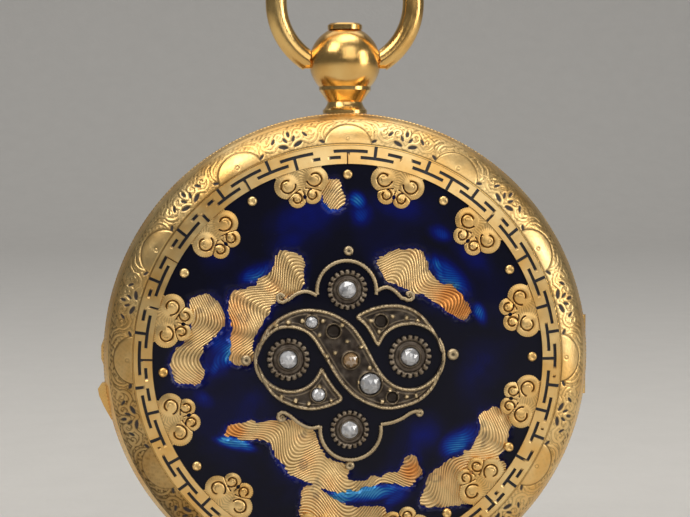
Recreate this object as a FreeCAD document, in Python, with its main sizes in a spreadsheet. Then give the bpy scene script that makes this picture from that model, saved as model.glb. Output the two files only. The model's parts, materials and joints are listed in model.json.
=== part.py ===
import FreeCAD, Part
import math
import os

import Sketcher
from FreeCAD import Placement, Rotation, Vector

# A ladies' open-face fob watch: key wound, key set, with an enamelled and jewelled back cover.
# Units are millimetres. Every piece is drawn in the watch's own frame, whose x runs to the right
# of someone looking at the back cover, y up to the pendant and z out of the back cover. UPRIGHT
# then stands it in the part's frame: X right, Z up, back cover towards -Y, dial towards +Y, and
# the lowest point of the case rim at the origin.

DOC = FreeCAD.newDocument("FobWatch")
SHEET = DOC.addObject("Spreadsheet::Sheet", "Sizes")

DRIVING_SIZES = {
    # case
    "case_radius": 18.0,
    "belt_radius": 17.4,
    "belt_half_height": 1.15,
    "ledge_radius": 16.9,
    "skirt_radius": 17.0,
    "seat_radius": 16.35,
    "movement_radius": 14.7,
    "flange_radius": 15.2,
    "cover_edge_height": 2.1,
    "rim_inner_radius": 15.7,
    "rim_inner_height": 4.6,
    "field_radius": 14.35,
    "field_height": 4.85,
    "apex_height": 5.4,
    "enamel_thickness": 0.3,
    "cover_wall": 0.45,
    "crystal_radius": 15.55,
    "crystal_flat_radius": 11.0,
    "crystal_top": 4.9,
    "cuvette_radius": 16.25,
    "cuvette_seat": 2.9,
    "cuvette_wall": 0.3,
    "key_hole_radius": 1.3,
    # hinges
    "hinge_reach": 17.65,
    "hinge_height": 1.55,
    "knuckle_radius": 0.42,
    "hinge_pin_radius": 0.2,
    "cuvette_hinge_reach": 16.45,
    "cuvette_hinge_height": 3.05,
    "cuvette_knuckle_radius": 0.28,
    "cuvette_pin_radius": 0.12,
    "hinge_half_length": 3.0,
    "running_gap": 0.03,
    # pendant and bow
    "ball_height": 21.9,
    "ball_radius": 2.68,
    "pendant_stem_radius": 1.1,
    "bow_ring_radius": 5.15,
    "bow_wire_radius": 0.8,
    "bow_rise": 4.45,
    "bow_pin_radius": 0.5,
    # movement levels
    "plate_front": -1.0,
    "plate_back": 0.4,
    "bridge_front": 1.9,
    "bridge_back": 2.75,
    "balance_cock_front": 2.3,
    "escape_cock_front": 1.25,
    "escape_cock_back": 1.48,
    # going train
    "barrel_module": 0.16,
    "barrel_teeth": 80,
    "centre_leaves": 10,
    "centre_module": 0.12,
    "centre_teeth": 64,
    "third_leaves": 8,
    "third_module": 0.105,
    "third_teeth": 60,
    "fourth_leaves": 8,
    "fourth_module": 0.1,
    "fourth_teeth": 60,
    "escape_leaves": 6,
    "escape_tip_radius": 2.42,
    "cylinder_distance": 2.62,
    "balance_radius": 4.2,
    "barrel_bearing": 62.0,
    "third_bearing": -63.0,
    "fourth_bearing": 200.0,
    "escape_bearing": 205.0,
    "balance_bearing": 148.0,
    "pivot_radius": 0.12,
    "jewel_radius": 0.44,
    # motion work
    "motion_module": 0.12,
    "cannon_leaves": 12,
    "minute_teeth": 36,
    "hour_module": 0.1152,
    "minute_leaves": 10,
    "hour_teeth": 40,
    "motion_bearing": 200.0,
    "dial_radius": 15.0,
    "dial_back": -1.95,
    "dial_face": -2.45,
    # keys
    "winding_square": 1.1,
    "setting_square": 0.9,
    "square_top": 3.35,
}

UPRIGHT = Placement(Vector(0, 0, DRIVING_SIZES["case_radius"]), Rotation(Vector(1, 0, 0), 90))
HALF_TOOTH = 180.0
NODES = {}


# ---- sizes from the sheet


class Size:
    """A length with the sheet formula that an object's property is bound to."""

    def __init__(self, value, formula):
        self.value = value
        self.formula = formula

    def __add__(self, other):
        return Size(self.value + plain(other), f"({self.formula} + {written(other)})")

    def __sub__(self, other):
        return Size(self.value - plain(other), f"({self.formula} - {written(other)})")

    def __mul__(self, factor):
        return Size(self.value * plain(factor), f"({self.formula} * {written(factor)})")

    def __neg__(self):
        return Size(-self.value, f"(0 - {self.formula})")


def plain(size):
    return size.value if isinstance(size, Size) else float(size)


def written(size):
    return size.formula if isinstance(size, Size) else f"({float(size)})"


def fill_sheet():
    for row, (name, value) in enumerate(DRIVING_SIZES.items(), start=1):
        SHEET.set(f"A{row}", name.replace("_", " "))
        SHEET.set(f"B{row}", str(value))
        SHEET.setAlias(f"B{row}", name)
    DOC.recompute()


def size(name):
    """The sheet's cell of this name, as a Size."""
    return Size(float(getattr(SHEET, name)), f"Sizes.{name}")


def bind(thing, prop, amount):
    """Set a property, tied to the sheet where the amount comes from there."""
    setattr(thing, prop, plain(amount))
    if isinstance(amount, Size):
        thing.setExpression(prop, amount.formula)


def set_down(thing, x, y, z, turn=0.0):
    """Place a piece at x, y, z, turned about the watch's axis; z may be tied to the sheet."""
    thing.Placement = Placement(Vector(x, y, plain(z)), Rotation(Vector(0, 0, 1), turn))
    if isinstance(z, Size):
        thing.setExpression("Placement.Base.z", z.formula)
    return thing


def polar(centre, distance, bearing):
    """The point at a distance and bearing, in degrees from +x towards +y."""
    turn = math.radians(bearing)
    return centre[0] + distance * math.cos(turn), centre[1] + distance * math.sin(turn)


def bearing_of(start, end):
    return math.degrees(math.atan2(end[1] - start[1], end[0] - start[0]))


# ---- shapes


def rise(low, high):
    """The height from level low to level high."""
    return high - low if isinstance(high, Size) or not isinstance(low, Size) else -low + high


def rod(name, place, low, high, radius):
    """A round bar along the watch's axis, from level low to level high."""
    thing = DOC.addObject("Part::Cylinder", name)
    bind(thing, "Radius", radius)
    bind(thing, "Height", rise(low, high))
    return set_down(thing, place[0], place[1], low)


def block(name, corner, length, width, height):
    """A box from its lowest corner."""
    thing = DOC.addObject("Part::Box", name)
    bind(thing, "Length", length)
    bind(thing, "Width", width)
    bind(thing, "Height", height)
    return set_down(thing, *corner)


def prism(name, wire, low, high, place=(0, 0), turn=0.0):
    """A flat outline carried from level low to level high."""
    face = Part.Face(wire)
    if face.normalAt(0, 0).z < 0:
        face = Part.Face(Part.Wire([edge.reversed() for edge in reversed(wire.OrderedEdges)]))
    outline = DOC.addObject("Part::Feature", name + "_outline")
    outline.Shape = face
    thing = DOC.addObject("Part::Extrusion", name)
    thing.Base = outline
    thing.DirMode = "Custom"
    thing.Dir = Vector(0, 0, 1)
    thing.Solid = True
    bind(thing, "LengthFwd", rise(low, high))
    return set_down(thing, place[0], place[1], low, turn)


def fuse(name, pieces):
    thing = DOC.addObject("Part::MultiFuse", name)
    thing.Shapes = pieces
    return thing


def cut(name, base, tools):
    """base with every tool taken out of it."""
    thing = DOC.addObject("Part::Cut", name)
    thing.Base = base
    thing.Tool = tools[0] if len(tools) == 1 else fuse(name + "_tools", tools)
    return thing


def node(label, thing, stand=UPRIGHT):
    """Name a finished sub-part and stand it in the part's frame."""
    if any("Placement" in path for path, _ in thing.ExpressionEngine):
        thing = group(label + "_piece", [thing])
    thing.Label = label
    thing.Placement = stand.multiply(thing.Placement)
    NODES[label] = thing
    return thing


def group(name, pieces):
    """Separate solids that share one node."""
    thing = DOC.addObject("Part::Compound", name)
    thing.Links = pieces
    return thing


def closed(points):
    return Part.makePolygon([Vector(x, y, 0) for x, y in [*points, points[0]]])


def capsule(start, end, start_radius, end_radius):
    """The outline round two circles and the straight lines that touch both."""
    run = math.dist(start, end)
    along = bearing_of(start, end)
    lean = math.degrees(math.acos((start_radius - end_radius) / run))
    corners = []
    for centre, radius, turns in (
        (end, end_radius, (-lean, 0, lean)),
        (start, start_radius, (lean, 180, 360 - lean)),
    ):
        corners.append([Vector(*polar(centre, radius, along + turn), 0) for turn in turns])
    first, second = corners
    return Part.Wire([
        Part.Arc(*first).toShape(),
        Part.LineSegment(first[2], second[0]).toShape(),
        Part.Arc(*second).toShape(),
        Part.LineSegment(second[2], first[0]).toShape(),
    ])


def smooth_band(one_edge, other_edge):
    """The outline between two smooth edges that run the same way."""
    edges = []
    for points in (one_edge, other_edge):
        curve = Part.BSplineCurve()
        curve.interpolate([Vector(x, y, 0) for x, y in points])
        edges.append(curve.toShape())
    for this, that in ((one_edge[-1], other_edge[-1]), (other_edge[0], one_edge[0])):
        edges.append(Part.LineSegment(Vector(*this, 0), Vector(*that, 0)).toShape())
    return Part.Wire(Part.sortEdges(edges)[0])


def toothed(teeth, module, addendum=0.9, dedendum=1.2):
    """A gear's outline with a tooth centred on bearing 0. Angles are in shares of half a tooth pitch."""
    pitch_radius = teeth * module / 2
    tip, root = pitch_radius + addendum * module, pitch_radius - dedendum * module
    tooth = [(root, -0.62), (pitch_radius, -0.44), (tip, -0.16)]
    tooth += [(tip, 0.16), (pitch_radius, 0.44), (root, 0.62)]
    points = []
    for number in range(int(teeth)):
        for radius, share in tooth:
            points.append(polar((0, 0), radius, (2 * number + share) * HALF_TOOTH / teeth))
    return closed(points)


def saw_toothed(teeth, tip, root):
    """A ratchet's or escape wheel's outline: a steep face and a long back on each tooth."""
    points = []
    for number in range(teeth):
        start = 360 * number / teeth
        points.append(polar((0, 0), root, start))
        points.append(polar((0, 0), tip, start + 30 / teeth))
        points.append(polar((0, 0), tip, start + 70 / teeth))
    return closed(points)


def windows(name, count, hub, rim, arm, low, high, place):
    """The openings that leave a wheel with count arms between its hub and rim."""
    cuts = []
    for number in range(count):
        middle = 360 * (number + 0.5) / count
        half_in = 180 / count - math.degrees(math.asin(arm / 2 / hub))
        half_out = 180 / count - math.degrees(math.asin(arm / 2 / rim))
        inner = [Vector(*polar((0, 0), hub, middle + turn), 0) for turn in (-half_in, 0, half_in)]
        outer = [Vector(*polar((0, 0), rim, middle + turn), 0) for turn in (half_out, 0, -half_out)]
        outline = Part.Wire([
            Part.Arc(*inner).toShape(),
            Part.LineSegment(inner[2], outer[0]).toShape(),
            Part.Arc(*outer).toShape(),
            Part.LineSegment(outer[2], inner[0]).toShape(),
        ])
        cuts.append(prism(f"{name}_window_{number}", outline, low, high, place))
    return cuts


def spiral(outer, inner, turns, thickness):
    """A flat spiral's outline, made of half circles that shrink by the same step."""
    halves = 2 * turns
    step = (outer - inner) / halves
    sides = ([], [])
    ends = []
    for side, edges in enumerate(sides):
        radius, centre = outer - side * thickness, 0.0
        ends.append([Vector(radius, 0, 0)])
        for half in range(halves):
            way = 1 if half % 2 == 0 else -1
            first = Vector(centre + way * radius, 0, 0)
            middle = Vector(centre, way * radius, 0)
            last = Vector(centre - way * radius, 0, 0)
            edges.append(Part.Arc(first, middle, last).toShape())
            radius -= step
            centre = last.x + way * radius
        ends[side].append(last)
    caps = [Part.LineSegment(ends[0][end], ends[1][end]).toShape() for end in (0, 1)]
    return Part.Wire(Part.sortEdges([*sides[0], *sides[1], *caps])[0])


def turned(name, outline, arcs=None):
    """A PartDesign body turned about the z axis from its half section.

    outline lists (radius, height) corners; arcs gives, for a corner's number, a point that the
    edge from there to the next corner passes through.
    """
    arcs = arcs or {}
    body = DOC.addObject("PartDesign::Body", name)
    sketch = body.newObject("Sketcher::SketchObject", name + "_section")
    plane = next(f for f in body.Origin.OriginFeatures if f.Role == "XZ_Plane")
    sketch.AttachmentSupport = (plane, [""])
    sketch.MapMode = "FlatFace"
    corners = [Vector(plain(radius), plain(height), 0) for radius, height in outline]
    following = corners[1:] + corners[:1]
    lines = []
    for number, (this, that) in enumerate(zip(corners, following)):
        if number in arcs:
            lines.append(Part.Arc(this, Vector(*(plain(part) for part in arcs[number]), 0), that))
        else:
            lines.append(Part.LineSegment(this, that))
    sketch.addGeometry(lines, False)
    starts = [1 if (sketch.getPoint(i, 1) - corners[i]).Length < 1e-6 else 2 for i in range(len(lines))]
    constraints, tied = [], []
    for i, start in enumerate(starts):
        after = (i + 1) % len(lines)
        constraints.append(Sketcher.Constraint("Coincident", i, 3 - start, after, starts[after]))
        for way, axis, amount in (("DistanceX", -2, outline[i][0]), ("DistanceY", -1, outline[i][1])):
            if abs(plain(amount)) < 1e-9:
                constraints.append(Sketcher.Constraint("PointOnObject", i, start, axis))
                continue
            if isinstance(amount, Size):
                tied.append((len(constraints), amount))
            constraints.append(Sketcher.Constraint(way, -1, 1, i, start, plain(amount)))
        if i in arcs and abs(sketch.Geometry[i].Center.x) < 1e-6:
            constraints.append(Sketcher.Constraint("PointOnObject", i, 3, -2))
        elif i in arcs:
            constraints.append(Sketcher.Constraint("Radius", i, sketch.Geometry[i].Radius))
    sketch.addConstraint(constraints)
    for number, amount in tied:
        sketch.setExpression(f"Constraints[{number}]", amount.formula)
    turn = body.newObject("PartDesign::Revolution", name + "_turn")
    turn.Profile = sketch
    turn.ReferenceAxis = (sketch, ["V_Axis"])
    turn.Angle = 360
    return body


def across(name, reach, height, low, high, radius):
    """A round bar along y, for knuckles and hinge pins."""
    thing = DOC.addObject("Part::Cylinder", name)
    bind(thing, "Radius", radius)
    bind(thing, "Height", high - low)
    thing.Placement = Placement(Vector(plain(reach), low, plain(height)), Rotation(Vector(1, 0, 0), -90))
    return thing


# ---- the domed field of the back cover


def field_level(radius, above=0.0):
    """The height of the enamel's spherical dome over the watch's middle plane at this radius."""
    rim, low, top = (plain(size(n)) for n in ("field_radius", "field_height", "apex_height"))
    sphere = (rim**2 + (top - low) ** 2) / (2 * (top - low))
    return top - sphere + math.sqrt(sphere**2 - radius**2) + above


# ---- hinges

KNUCKLE_ROOM = 0.05


def knuckles(name, reach, height, radius, pin, which, web):
    """Every other knuckle of a five-knuckle hinge, with the web that joins each to its body.

    web is (x from, z from, x to, z to), measured from the hinge's axis.
    """
    pitch = 2 * plain(size("hinge_half_length")) / 5
    gap = plain(size("running_gap"))
    pieces, holes = [], []
    for number in which:
        low = -plain(size("hinge_half_length")) + number * pitch + gap
        high = low + pitch - 2 * gap
        pieces.append(across(f"{name}_knuckle_{number}", reach, height, low, high, radius))
        left, bottom, right, top = web
        corner = (plain(reach) + left, low, height + bottom)
        pieces.append(block(f"{name}_web_{number}", corner, right - left, high - low, top - bottom))
        holes.append(across(f"{name}_bore_{number}", reach, height, low - gap, high + gap, pin))
    return pieces, holes


def hinge_gap(name, x_from, x_to, z_from, z_to):
    """The slot in a rim that a hinge's knuckles sit in."""
    half = plain(size("hinge_half_length")) + 0.1
    return block(name, (x_from, -half, z_from), x_to - x_from, 2 * half, z_to - z_from)


# ---- case


def build_case_band(dog_screws):
    ledge, seat, belt = size("ledge_radius"), size("seat_radius"), size("belt_radius")
    half, bore, flange = size("belt_half_height"), size("movement_radius"), size("flange_radius")
    cuvette_seat = size("cuvette_seat")
    ring = turned(
        "band_ring",
        [
            (flange + 0.05, -2.2),
            (ledge, -2.2),
            (ledge, -half),
            (belt, -half),
            (belt, half),
            (ledge, half),
            (ledge, cuvette_seat + 0.35),
            (seat, cuvette_seat + 0.35),
            (seat, cuvette_seat),
            (bore + 0.05, cuvette_seat),
            (bore + 0.05, -0.48),
            (flange + 0.05, -0.48),
        ],
    )
    reach, height = size("hinge_reach"), size("hinge_height")
    radius, pin = size("knuckle_radius"), size("hinge_pin_radius")
    back, back_bores = knuckles("band_back", reach, height, radius, pin, (0, 2, 4), (-1.0, -0.75, 0, -0.38))
    front, front_bores = knuckles("band_front", reach, -height, radius, pin, (0, 2, 4), (-1.0, 0.38, 0, 0.75))
    inner_reach, inner_height = size("cuvette_hinge_reach"), size("cuvette_hinge_height")
    inner, inner_bores = knuckles(
        "band_cuvette",
        inner_reach,
        inner_height,
        size("cuvette_knuckle_radius"),
        size("cuvette_pin_radius"),
        (0, 2, 4),
        (-0.2, -0.5, 0.2, -0.1),
    )
    slot = hinge_gap("band_cuvette_gap", 16.05, 17.5, 2.75, 3.6)
    pockets = [rod(f"band_pocket_{i}", place, 0.38, 0.85, 1.0) for i, place in enumerate(dog_screws)]
    stem_hole = DOC.addObject("Part::Cylinder", "band_stem_hole")
    stem_hole.Radius = 0.9
    stem_hole.Height = 2.0
    stem_hole.Placement = Placement(Vector(0, 16.4, 0), Rotation(Vector(1, 0, 0), -90))
    open_ring = cut("band_open", ring, [slot, stem_hole, *pockets])
    whole = fuse("band_fused", [open_ring, *back, *front, *inner])
    return node("case_band", cut("band", whole, [*back_bores, *front_bores, *inner_bores]))


def build_hinge_pins():
    half = plain(size("hinge_half_length")) - 0.02
    reach, height, radius = size("hinge_reach"), size("hinge_height"), size("hinge_pin_radius")
    node("back_hinge_pin", across("back_pin", reach, height, -half, half, radius))
    node("bezel_hinge_pin", across("front_pin", reach, -height, -half, half, radius))
    reach, height = size("cuvette_hinge_reach"), size("cuvette_hinge_height")
    radius = size("cuvette_pin_radius")
    node("cuvette_hinge_pin", across("inner_pin", reach, height, -half, half, radius))


def build_back_cover():
    case, skirt, edge = size("case_radius"), size("skirt_radius"), size("cover_edge_height")
    rim, rim_height = size("rim_inner_radius"), size("rim_inner_height")
    field, field_height = size("field_radius"), size("field_height")
    apex, enamel, wall = size("apex_height"), size("enamel_thickness"), size("cover_wall")
    lower = size("belt_half_height") + 0.05
    half_field = plain(field) / 2
    floor = field_level(half_field, -plain(enamel))
    shell = turned(
        "cover_shell",
        [
            (skirt, lower),
            (case, lower),
            (case, edge),
            (rim, rim_height),
            (field, field_height),
            (field, field_height - enamel),
            (0, apex - enamel),
            (0, apex - enamel - wall),
            (field, field_height - enamel - wall),
            (rim - 0.3, rim_height - 0.55),
            (skirt - 0.5, 3.7),
            (skirt, 3.35),
        ],
        {2: (17.35, 3.55), 5: (half_field, floor), 7: (half_field, floor - plain(wall))},
    )
    reach, height, knuckle = size("hinge_reach"), size("hinge_height"), size("knuckle_radius")
    gap = hinge_gap("cover_gap", plain(reach) - plain(knuckle) - KNUCKLE_ROOM, 19.0, 1.0, 2.12)
    pin = size("hinge_pin_radius") + size("running_gap")
    moving, bores = knuckles("cover", reach, height, knuckle, pin, (1, 3), (-0.52, 0.0, -0.02, 0.95))
    lip_points = [(17.5, 185.6), (18.3, 186.2), (18.62, 187.4), (18.6, 189), (18.4, 191.6)]
    lip_points += [(18.1, 195), (17.5, 196)]
    lip_outline = closed([polar((0, 0), radius, bearing) for radius, bearing in lip_points])
    lip = prism("cover_lip", lip_outline, lower + 0.05, edge - 0.1)
    body = fuse("cover_fused", [cut("cover_open", shell, [gap]), *moving, lip])
    return node("back_cover", cut("cover", body, bores))


def build_back_enamel():
    field, thickness = plain(size("field_radius")) - 0.02, size("enamel_thickness")
    apex = size("apex_height")
    under = -plain(thickness) + 0.01
    return node(
        "back_enamel",
        turned(
            "enamel",
            [
                (0, apex - thickness + 0.01),
                (field, field_level(field, under)),
                (field, field_level(field)),
                (0, apex),
            ],
            {0: (field / 2, field_level(field / 2, under)), 2: (field / 2, field_level(field / 2))},
        ),
    )


S_BAND_UPPER = (
    (-6.80, 0.02), (-6.62, 1.20), (-5.97, 2.39), (-4.90, 3.34), (-3.60, 3.81), (-2.29, 3.81),
    (-1.11, 3.46), (0.08, 2.75), (0.91, 1.80), (1.50, 0.73), (1.98, -0.34), (2.69, -1.29),
    (3.52, -1.88), (4.47, -2.06), (5.42, -1.88), (6.25, -1.17), (6.84, 0.26),
)
S_BAND_LOWER = (
    (-6.56, 0.02), (-6.21, 1.32), (-5.38, 2.15), (-4.43, 2.39), (-3.36, 2.15), (-2.65, 1.68),
    (-2.05, 0.73), (-1.46, -0.34), (-0.75, -1.52), (0.20, -2.59), (1.39, -3.30), (2.69, -3.66),
    (4.11, -3.54), (5.42, -2.95), (6.37, -1.88), (6.84, -0.69), (6.96, 0.26),
)
RIGHT_CRESCENT_OUTER = (
    (0.44, 3.22), (1.39, 3.81), (2.57, 4.11), (3.88, 4.05), (5.06, 3.58), (6.01, 2.63),
    (6.61, 1.56), (6.84, 0.73),
)
RIGHT_CRESCENT_INNER = (
    (0.91, 2.75), (1.39, 2.15), (1.86, 1.20), (2.16, 0.85), (2.57, 1.80), (3.40, 2.39),
    (4.47, 2.63), (5.54, 2.39), (6.37, 1.68), (6.78, 0.75),
)
LEFT_CRESCENT_OUTER = (
    (-6.68, -0.57), (-6.33, -1.64), (-5.49, -2.71), (-4.19, -3.42), (-2.77, -3.72),
    (-1.58, -3.54), (-0.33, -2.89),
)
LEFT_CRESCENT_INNER = (
    (-6.60, -0.58), (-5.97, -1.40), (-5.14, -2.00), (-4.07, -2.18), (-3.12, -1.88),
    (-2.41, -1.17), (-2.00, -0.34), (-1.58, -1.05), (-0.99, -2.00), (-0.45, -2.80),
)
# centre and radius of the four rosettes, and of the stones set in the bands
ROSETTES = (((-4.40, 0.08), 1.6), ((4.47, 0.25), 1.62), ((-0.10, 5.16), 1.48), ((0.06, -5.08), 1.42))
BAND_STONES = (((-2.71, 2.81), 0.45), ((1.56, -1.70), 0.8), ((-2.23, -2.47), 0.5))
# centre, radius, first and last bearing of the two open rings
OPEN_RINGS = (((-0.15, 5.10), 2.16, -8, 188), ((0.14, -5.10), 2.22, 172, 368))
END_BEADS = (((0.0, 7.97), 0.36), ((-7.45, 0.02), 0.4), ((7.64, 0.37), 0.43), ((0.08, -7.75), 0.35))
SCROLLS = (
    ((-2.41, 4.82), (-3.05, 5.08), (-3.72, 4.94), (-4.40, 4.50)),
    ((2.14, 5.10), (2.72, 5.36), (3.28, 5.12), (3.86, 4.55)),
    ((-2.20, -4.90), (-2.88, -4.98), (-3.60, -4.61), (-4.35, -3.96)),
    ((2.52, -4.73), (3.17, -4.66), (3.88, -4.31), (4.55, -3.85)),
)
SETTING_LIFT = 0.01
SETTING_THICKNESS = 0.3


def build_motif():
    outlines = {
        "s_band": (S_BAND_UPPER, S_BAND_LOWER),
        "right_crescent": (RIGHT_CRESCENT_OUTER, RIGHT_CRESCENT_INNER),
        "left_crescent": (LEFT_CRESCENT_OUTER, LEFT_CRESCENT_INNER),
    }
    low = size("apex_height") + SETTING_LIFT
    high = low + SETTING_THICKNESS
    solids = [prism(name, smooth_band(*edges), low, high) for name, edges in outlines.items()]
    blank = group("setting_blank", solids)
    seats = [rod(f"stone_seat_{i}", place, 5.0, 6.4, radius) for i, (place, radius) in enumerate(BAND_STONES)]
    node("motif_setting", cut("setting", blank, seats))

    petals, stones = [], []
    for number, (place, radius) in enumerate(ROSETTES):
        base = field_level(math.hypot(*place)) + 0.02
        disc = rod(f"rosette_disc_{number}", place, base, base + 0.42, radius)
        stone_radius = 0.45 * radius
        seat = rod(f"rosette_seat_{number}", place, base + 0.2, base + 1.0, stone_radius + 0.01)
        petals.append(cut(f"rosette_{number}", disc, [seat]))
        stones.append(rose_stone(f"rosette_stone_{number}", place, base + 0.21, stone_radius))
    node("motif_rosettes", group("rosettes", petals))

    for number, (place, radius) in enumerate(BAND_STONES):
        base = field_level(math.hypot(*place)) + 0.04
        stones.append(rose_stone(f"band_stone_{number}", place, base, radius - 0.01))
    node("diamonds", group("stones", stones))


def rose_stone(name, place, low, radius):
    """A flat-bottomed stone that narrows to a small table."""
    stone = DOC.addObject("Part::Cone", name)
    stone.Radius1 = radius
    stone.Radius2 = radius * 0.3
    stone.Height = radius * 0.75
    return set_down(stone, place[0], place[1], low)


def build_motif_wires():
    wires = []
    wire_radius = 0.13
    for number, (centre, radius, start, end) in enumerate(OPEN_RINGS):
        ring = DOC.addObject("Part::Torus", f"open_ring_{number}")
        ring.Radius1 = radius
        ring.Radius2 = wire_radius
        ring.Angle3 = end - start
        set_down(ring, *centre, field_level(math.hypot(*centre)) + wire_radius + 0.08, start)
        wires.append(ring)
    for number, route in enumerate(SCROLLS):
        curve = Part.BSplineCurve()
        level = field_level(math.hypot(*route[0])) + wire_radius + 0.08
        curve.interpolate([Vector(x, y, level) for x, y in route])
        path = Part.Wire(curve.toShape())
        ring = Part.Wire(Part.makeCircle(wire_radius, Vector(*route[0], level), curve.tangent(0)[0]))
        scroll = DOC.addObject("Part::Feature", f"scroll_{number}")
        scroll.Shape = path.makePipeShell([ring], True, False)
        curl = DOC.addObject("Part::Sphere", f"scroll_curl_{number}")
        curl.Radius = 0.26
        set_down(curl, *route[-1], level)
        wires.append(fuse(f"scroll_end_{number}", [scroll, curl]))
    for number, (place, radius) in enumerate(END_BEADS):
        bead = DOC.addObject("Part::Sphere", f"end_bead_{number}")
        bead.Radius = radius
        set_down(bead, *place, field_level(math.hypot(*place)) + radius + 0.02)
        wires.append(bead)
    return node("motif_wires", group("wires", wires))


def build_cuvette(key_holes):
    radius, seat, wall = size("cuvette_radius"), size("cuvette_seat"), size("cuvette_wall")
    step = 14.9
    disc = turned(
        "cuvette_disc",
        [
            (radius, seat + 0.01),
            (radius, seat + wall),
            (step, seat + wall),
            (step - 0.5, seat + wall + 0.2),
            (0, seat + wall + 0.35),
            (0, seat + 0.3),
            (step - 0.5, seat + 0.2),
            (step - 0.2, seat + 0.01),
        ],
    )
    hole = size("key_hole_radius")
    holes = [rod(f"key_hole_{i}", place, 2.5, 4.0, hole) for i, place in enumerate(key_holes)]
    gap = hinge_gap("cuvette_gap", 15.95, 17.5, 2.5, 3.8)
    pin = size("cuvette_pin_radius") + size("running_gap") * 0.7
    moving, bores = knuckles(
        "cuvette",
        size("cuvette_hinge_reach"),
        size("cuvette_hinge_height"),
        size("cuvette_knuckle_radius"),
        pin,
        (1, 3),
        (-0.7, -0.12, -0.15, 0.12),
    )
    body = fuse("cuvette_fused", [cut("cuvette_open", disc, [gap, *holes]), *moving])
    return node("cuvette", cut("cuvette_body", body, bores))


def build_bezel():
    case, skirt, edge = size("case_radius"), size("skirt_radius"), size("cover_edge_height")
    lower = size("belt_half_height") + 0.05
    glass = size("crystal_radius")
    ring = turned(
        "bezel_ring",
        [
            (skirt, -lower),
            (skirt, -2.3),
            (15.1, -2.55),
            (15.1, -3.55),
            (glass + 0.05, -3.55),
            (glass + 0.05, -4.0),
            (glass - 0.35, -4.0),
            (glass - 0.35, -4.25),
            (15.9, -4.25),
            (case, -edge),
            (case, -lower),
        ],
        {8: (17.3, -3.4)},
    )
    reach, height, knuckle = size("hinge_reach"), size("hinge_height"), size("knuckle_radius")
    gap = hinge_gap("bezel_gap", plain(reach) - plain(knuckle) - KNUCKLE_ROOM, 19.0, -2.12, -1.0)
    pin = size("hinge_pin_radius") + size("running_gap")
    moving, bores = knuckles("bezel", reach, -height, knuckle, pin, (1, 3), (-0.52, -0.95, -0.02, 0.0))
    lip_points = ((17.5, 174), (18.1, 175), (18.45, 178.5), (18.45, 181.5), (18.1, 185), (17.5, 186))
    lip = prism("bezel_lip", closed([polar((0, 0), r, a) for r, a in lip_points]), -edge + 0.1, -lower - 0.05)
    body = fuse("bezel_fused", [cut("bezel_open", ring, [gap]), *moving, lip])
    return node("bezel", cut("bezel_body", body, bores))


def build_crystal():
    radius, flat, top = size("crystal_radius"), size("crystal_flat_radius"), size("crystal_top")
    return node(
        "crystal",
        turned(
            "glass",
            [
                (radius, -3.58),
                (radius, -3.92),
                (radius - 0.45, -3.98),
                (flat, -top),
                (0, -top),
                (0, -top + 0.9),
                (flat - 0.5, -top + 0.9),
                (14.7, -3.58),
            ],
        ),
    )


# ---- pendant and bow, turned about the part's vertical axis


def build_pendant():
    """Heights here are distances from the watch's centre, up the pendant."""
    rise, ball, stem = size("ball_height"), size("ball_radius"), size("pendant_stem_radius")
    flat = plain(ball) * 0.9
    flat_radius = math.sqrt(plain(ball) ** 2 - flat**2)
    collar = 1.95
    seat = math.sqrt(plain(ball) ** 2 - collar**2)
    profile = turned(
        "pendant_profile",
        [
            (0, 16.6),
            (0.88, 16.6),
            (0.88, 17.42),
            (stem, 17.42),
            (stem, 18.05),
            (1.67, 18.05),
            (1.67, 18.3),
            (1.3, 18.9),
            (collar, 19.8),
            (collar, rise - seat),
            (flat_radius, rise + flat),
            (0.46, rise + flat),
            (0.46, rise + 1.5),
            (0, rise + 1.5),
        ],
        {6: (1.42, 18.6), 9: (ball, rise)},
    )
    profile.Placement = Placement(Vector(), Rotation(Vector(0, 0, 1), 45))
    sockets = []
    for side in (-1, 1):
        socket = DOC.addObject("Part::Cylinder", f"bow_socket_{side + 1}")
        bind(socket, "Radius", size("bow_pin_radius") + size("running_gap"))
        socket.Height = 1.3
        socket.Placement = Placement(
            Vector(side * 1.7, 0, plain(rise)), Rotation(Vector(0, 1, 0), 90 * side)
        )
        sockets.append(socket)
    stand = Placement(UPRIGHT.Base, Rotation())
    node("pendant", cut("pendant_body", profile, sockets), stand)
    stud = plain(rise) + flat
    cap = turned(
        "cap",
        [
            (0, stud - 0.8),
            (0.45, stud - 0.8),
            (0.45, stud + 0.01),
            (1.3, stud + 0.01),
            (1.3, stud + 0.35),
            (1.1, stud + 0.49),
            (0, stud + 0.49),
        ],
    )
    node("pendant_cap", cap, stand)


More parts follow.
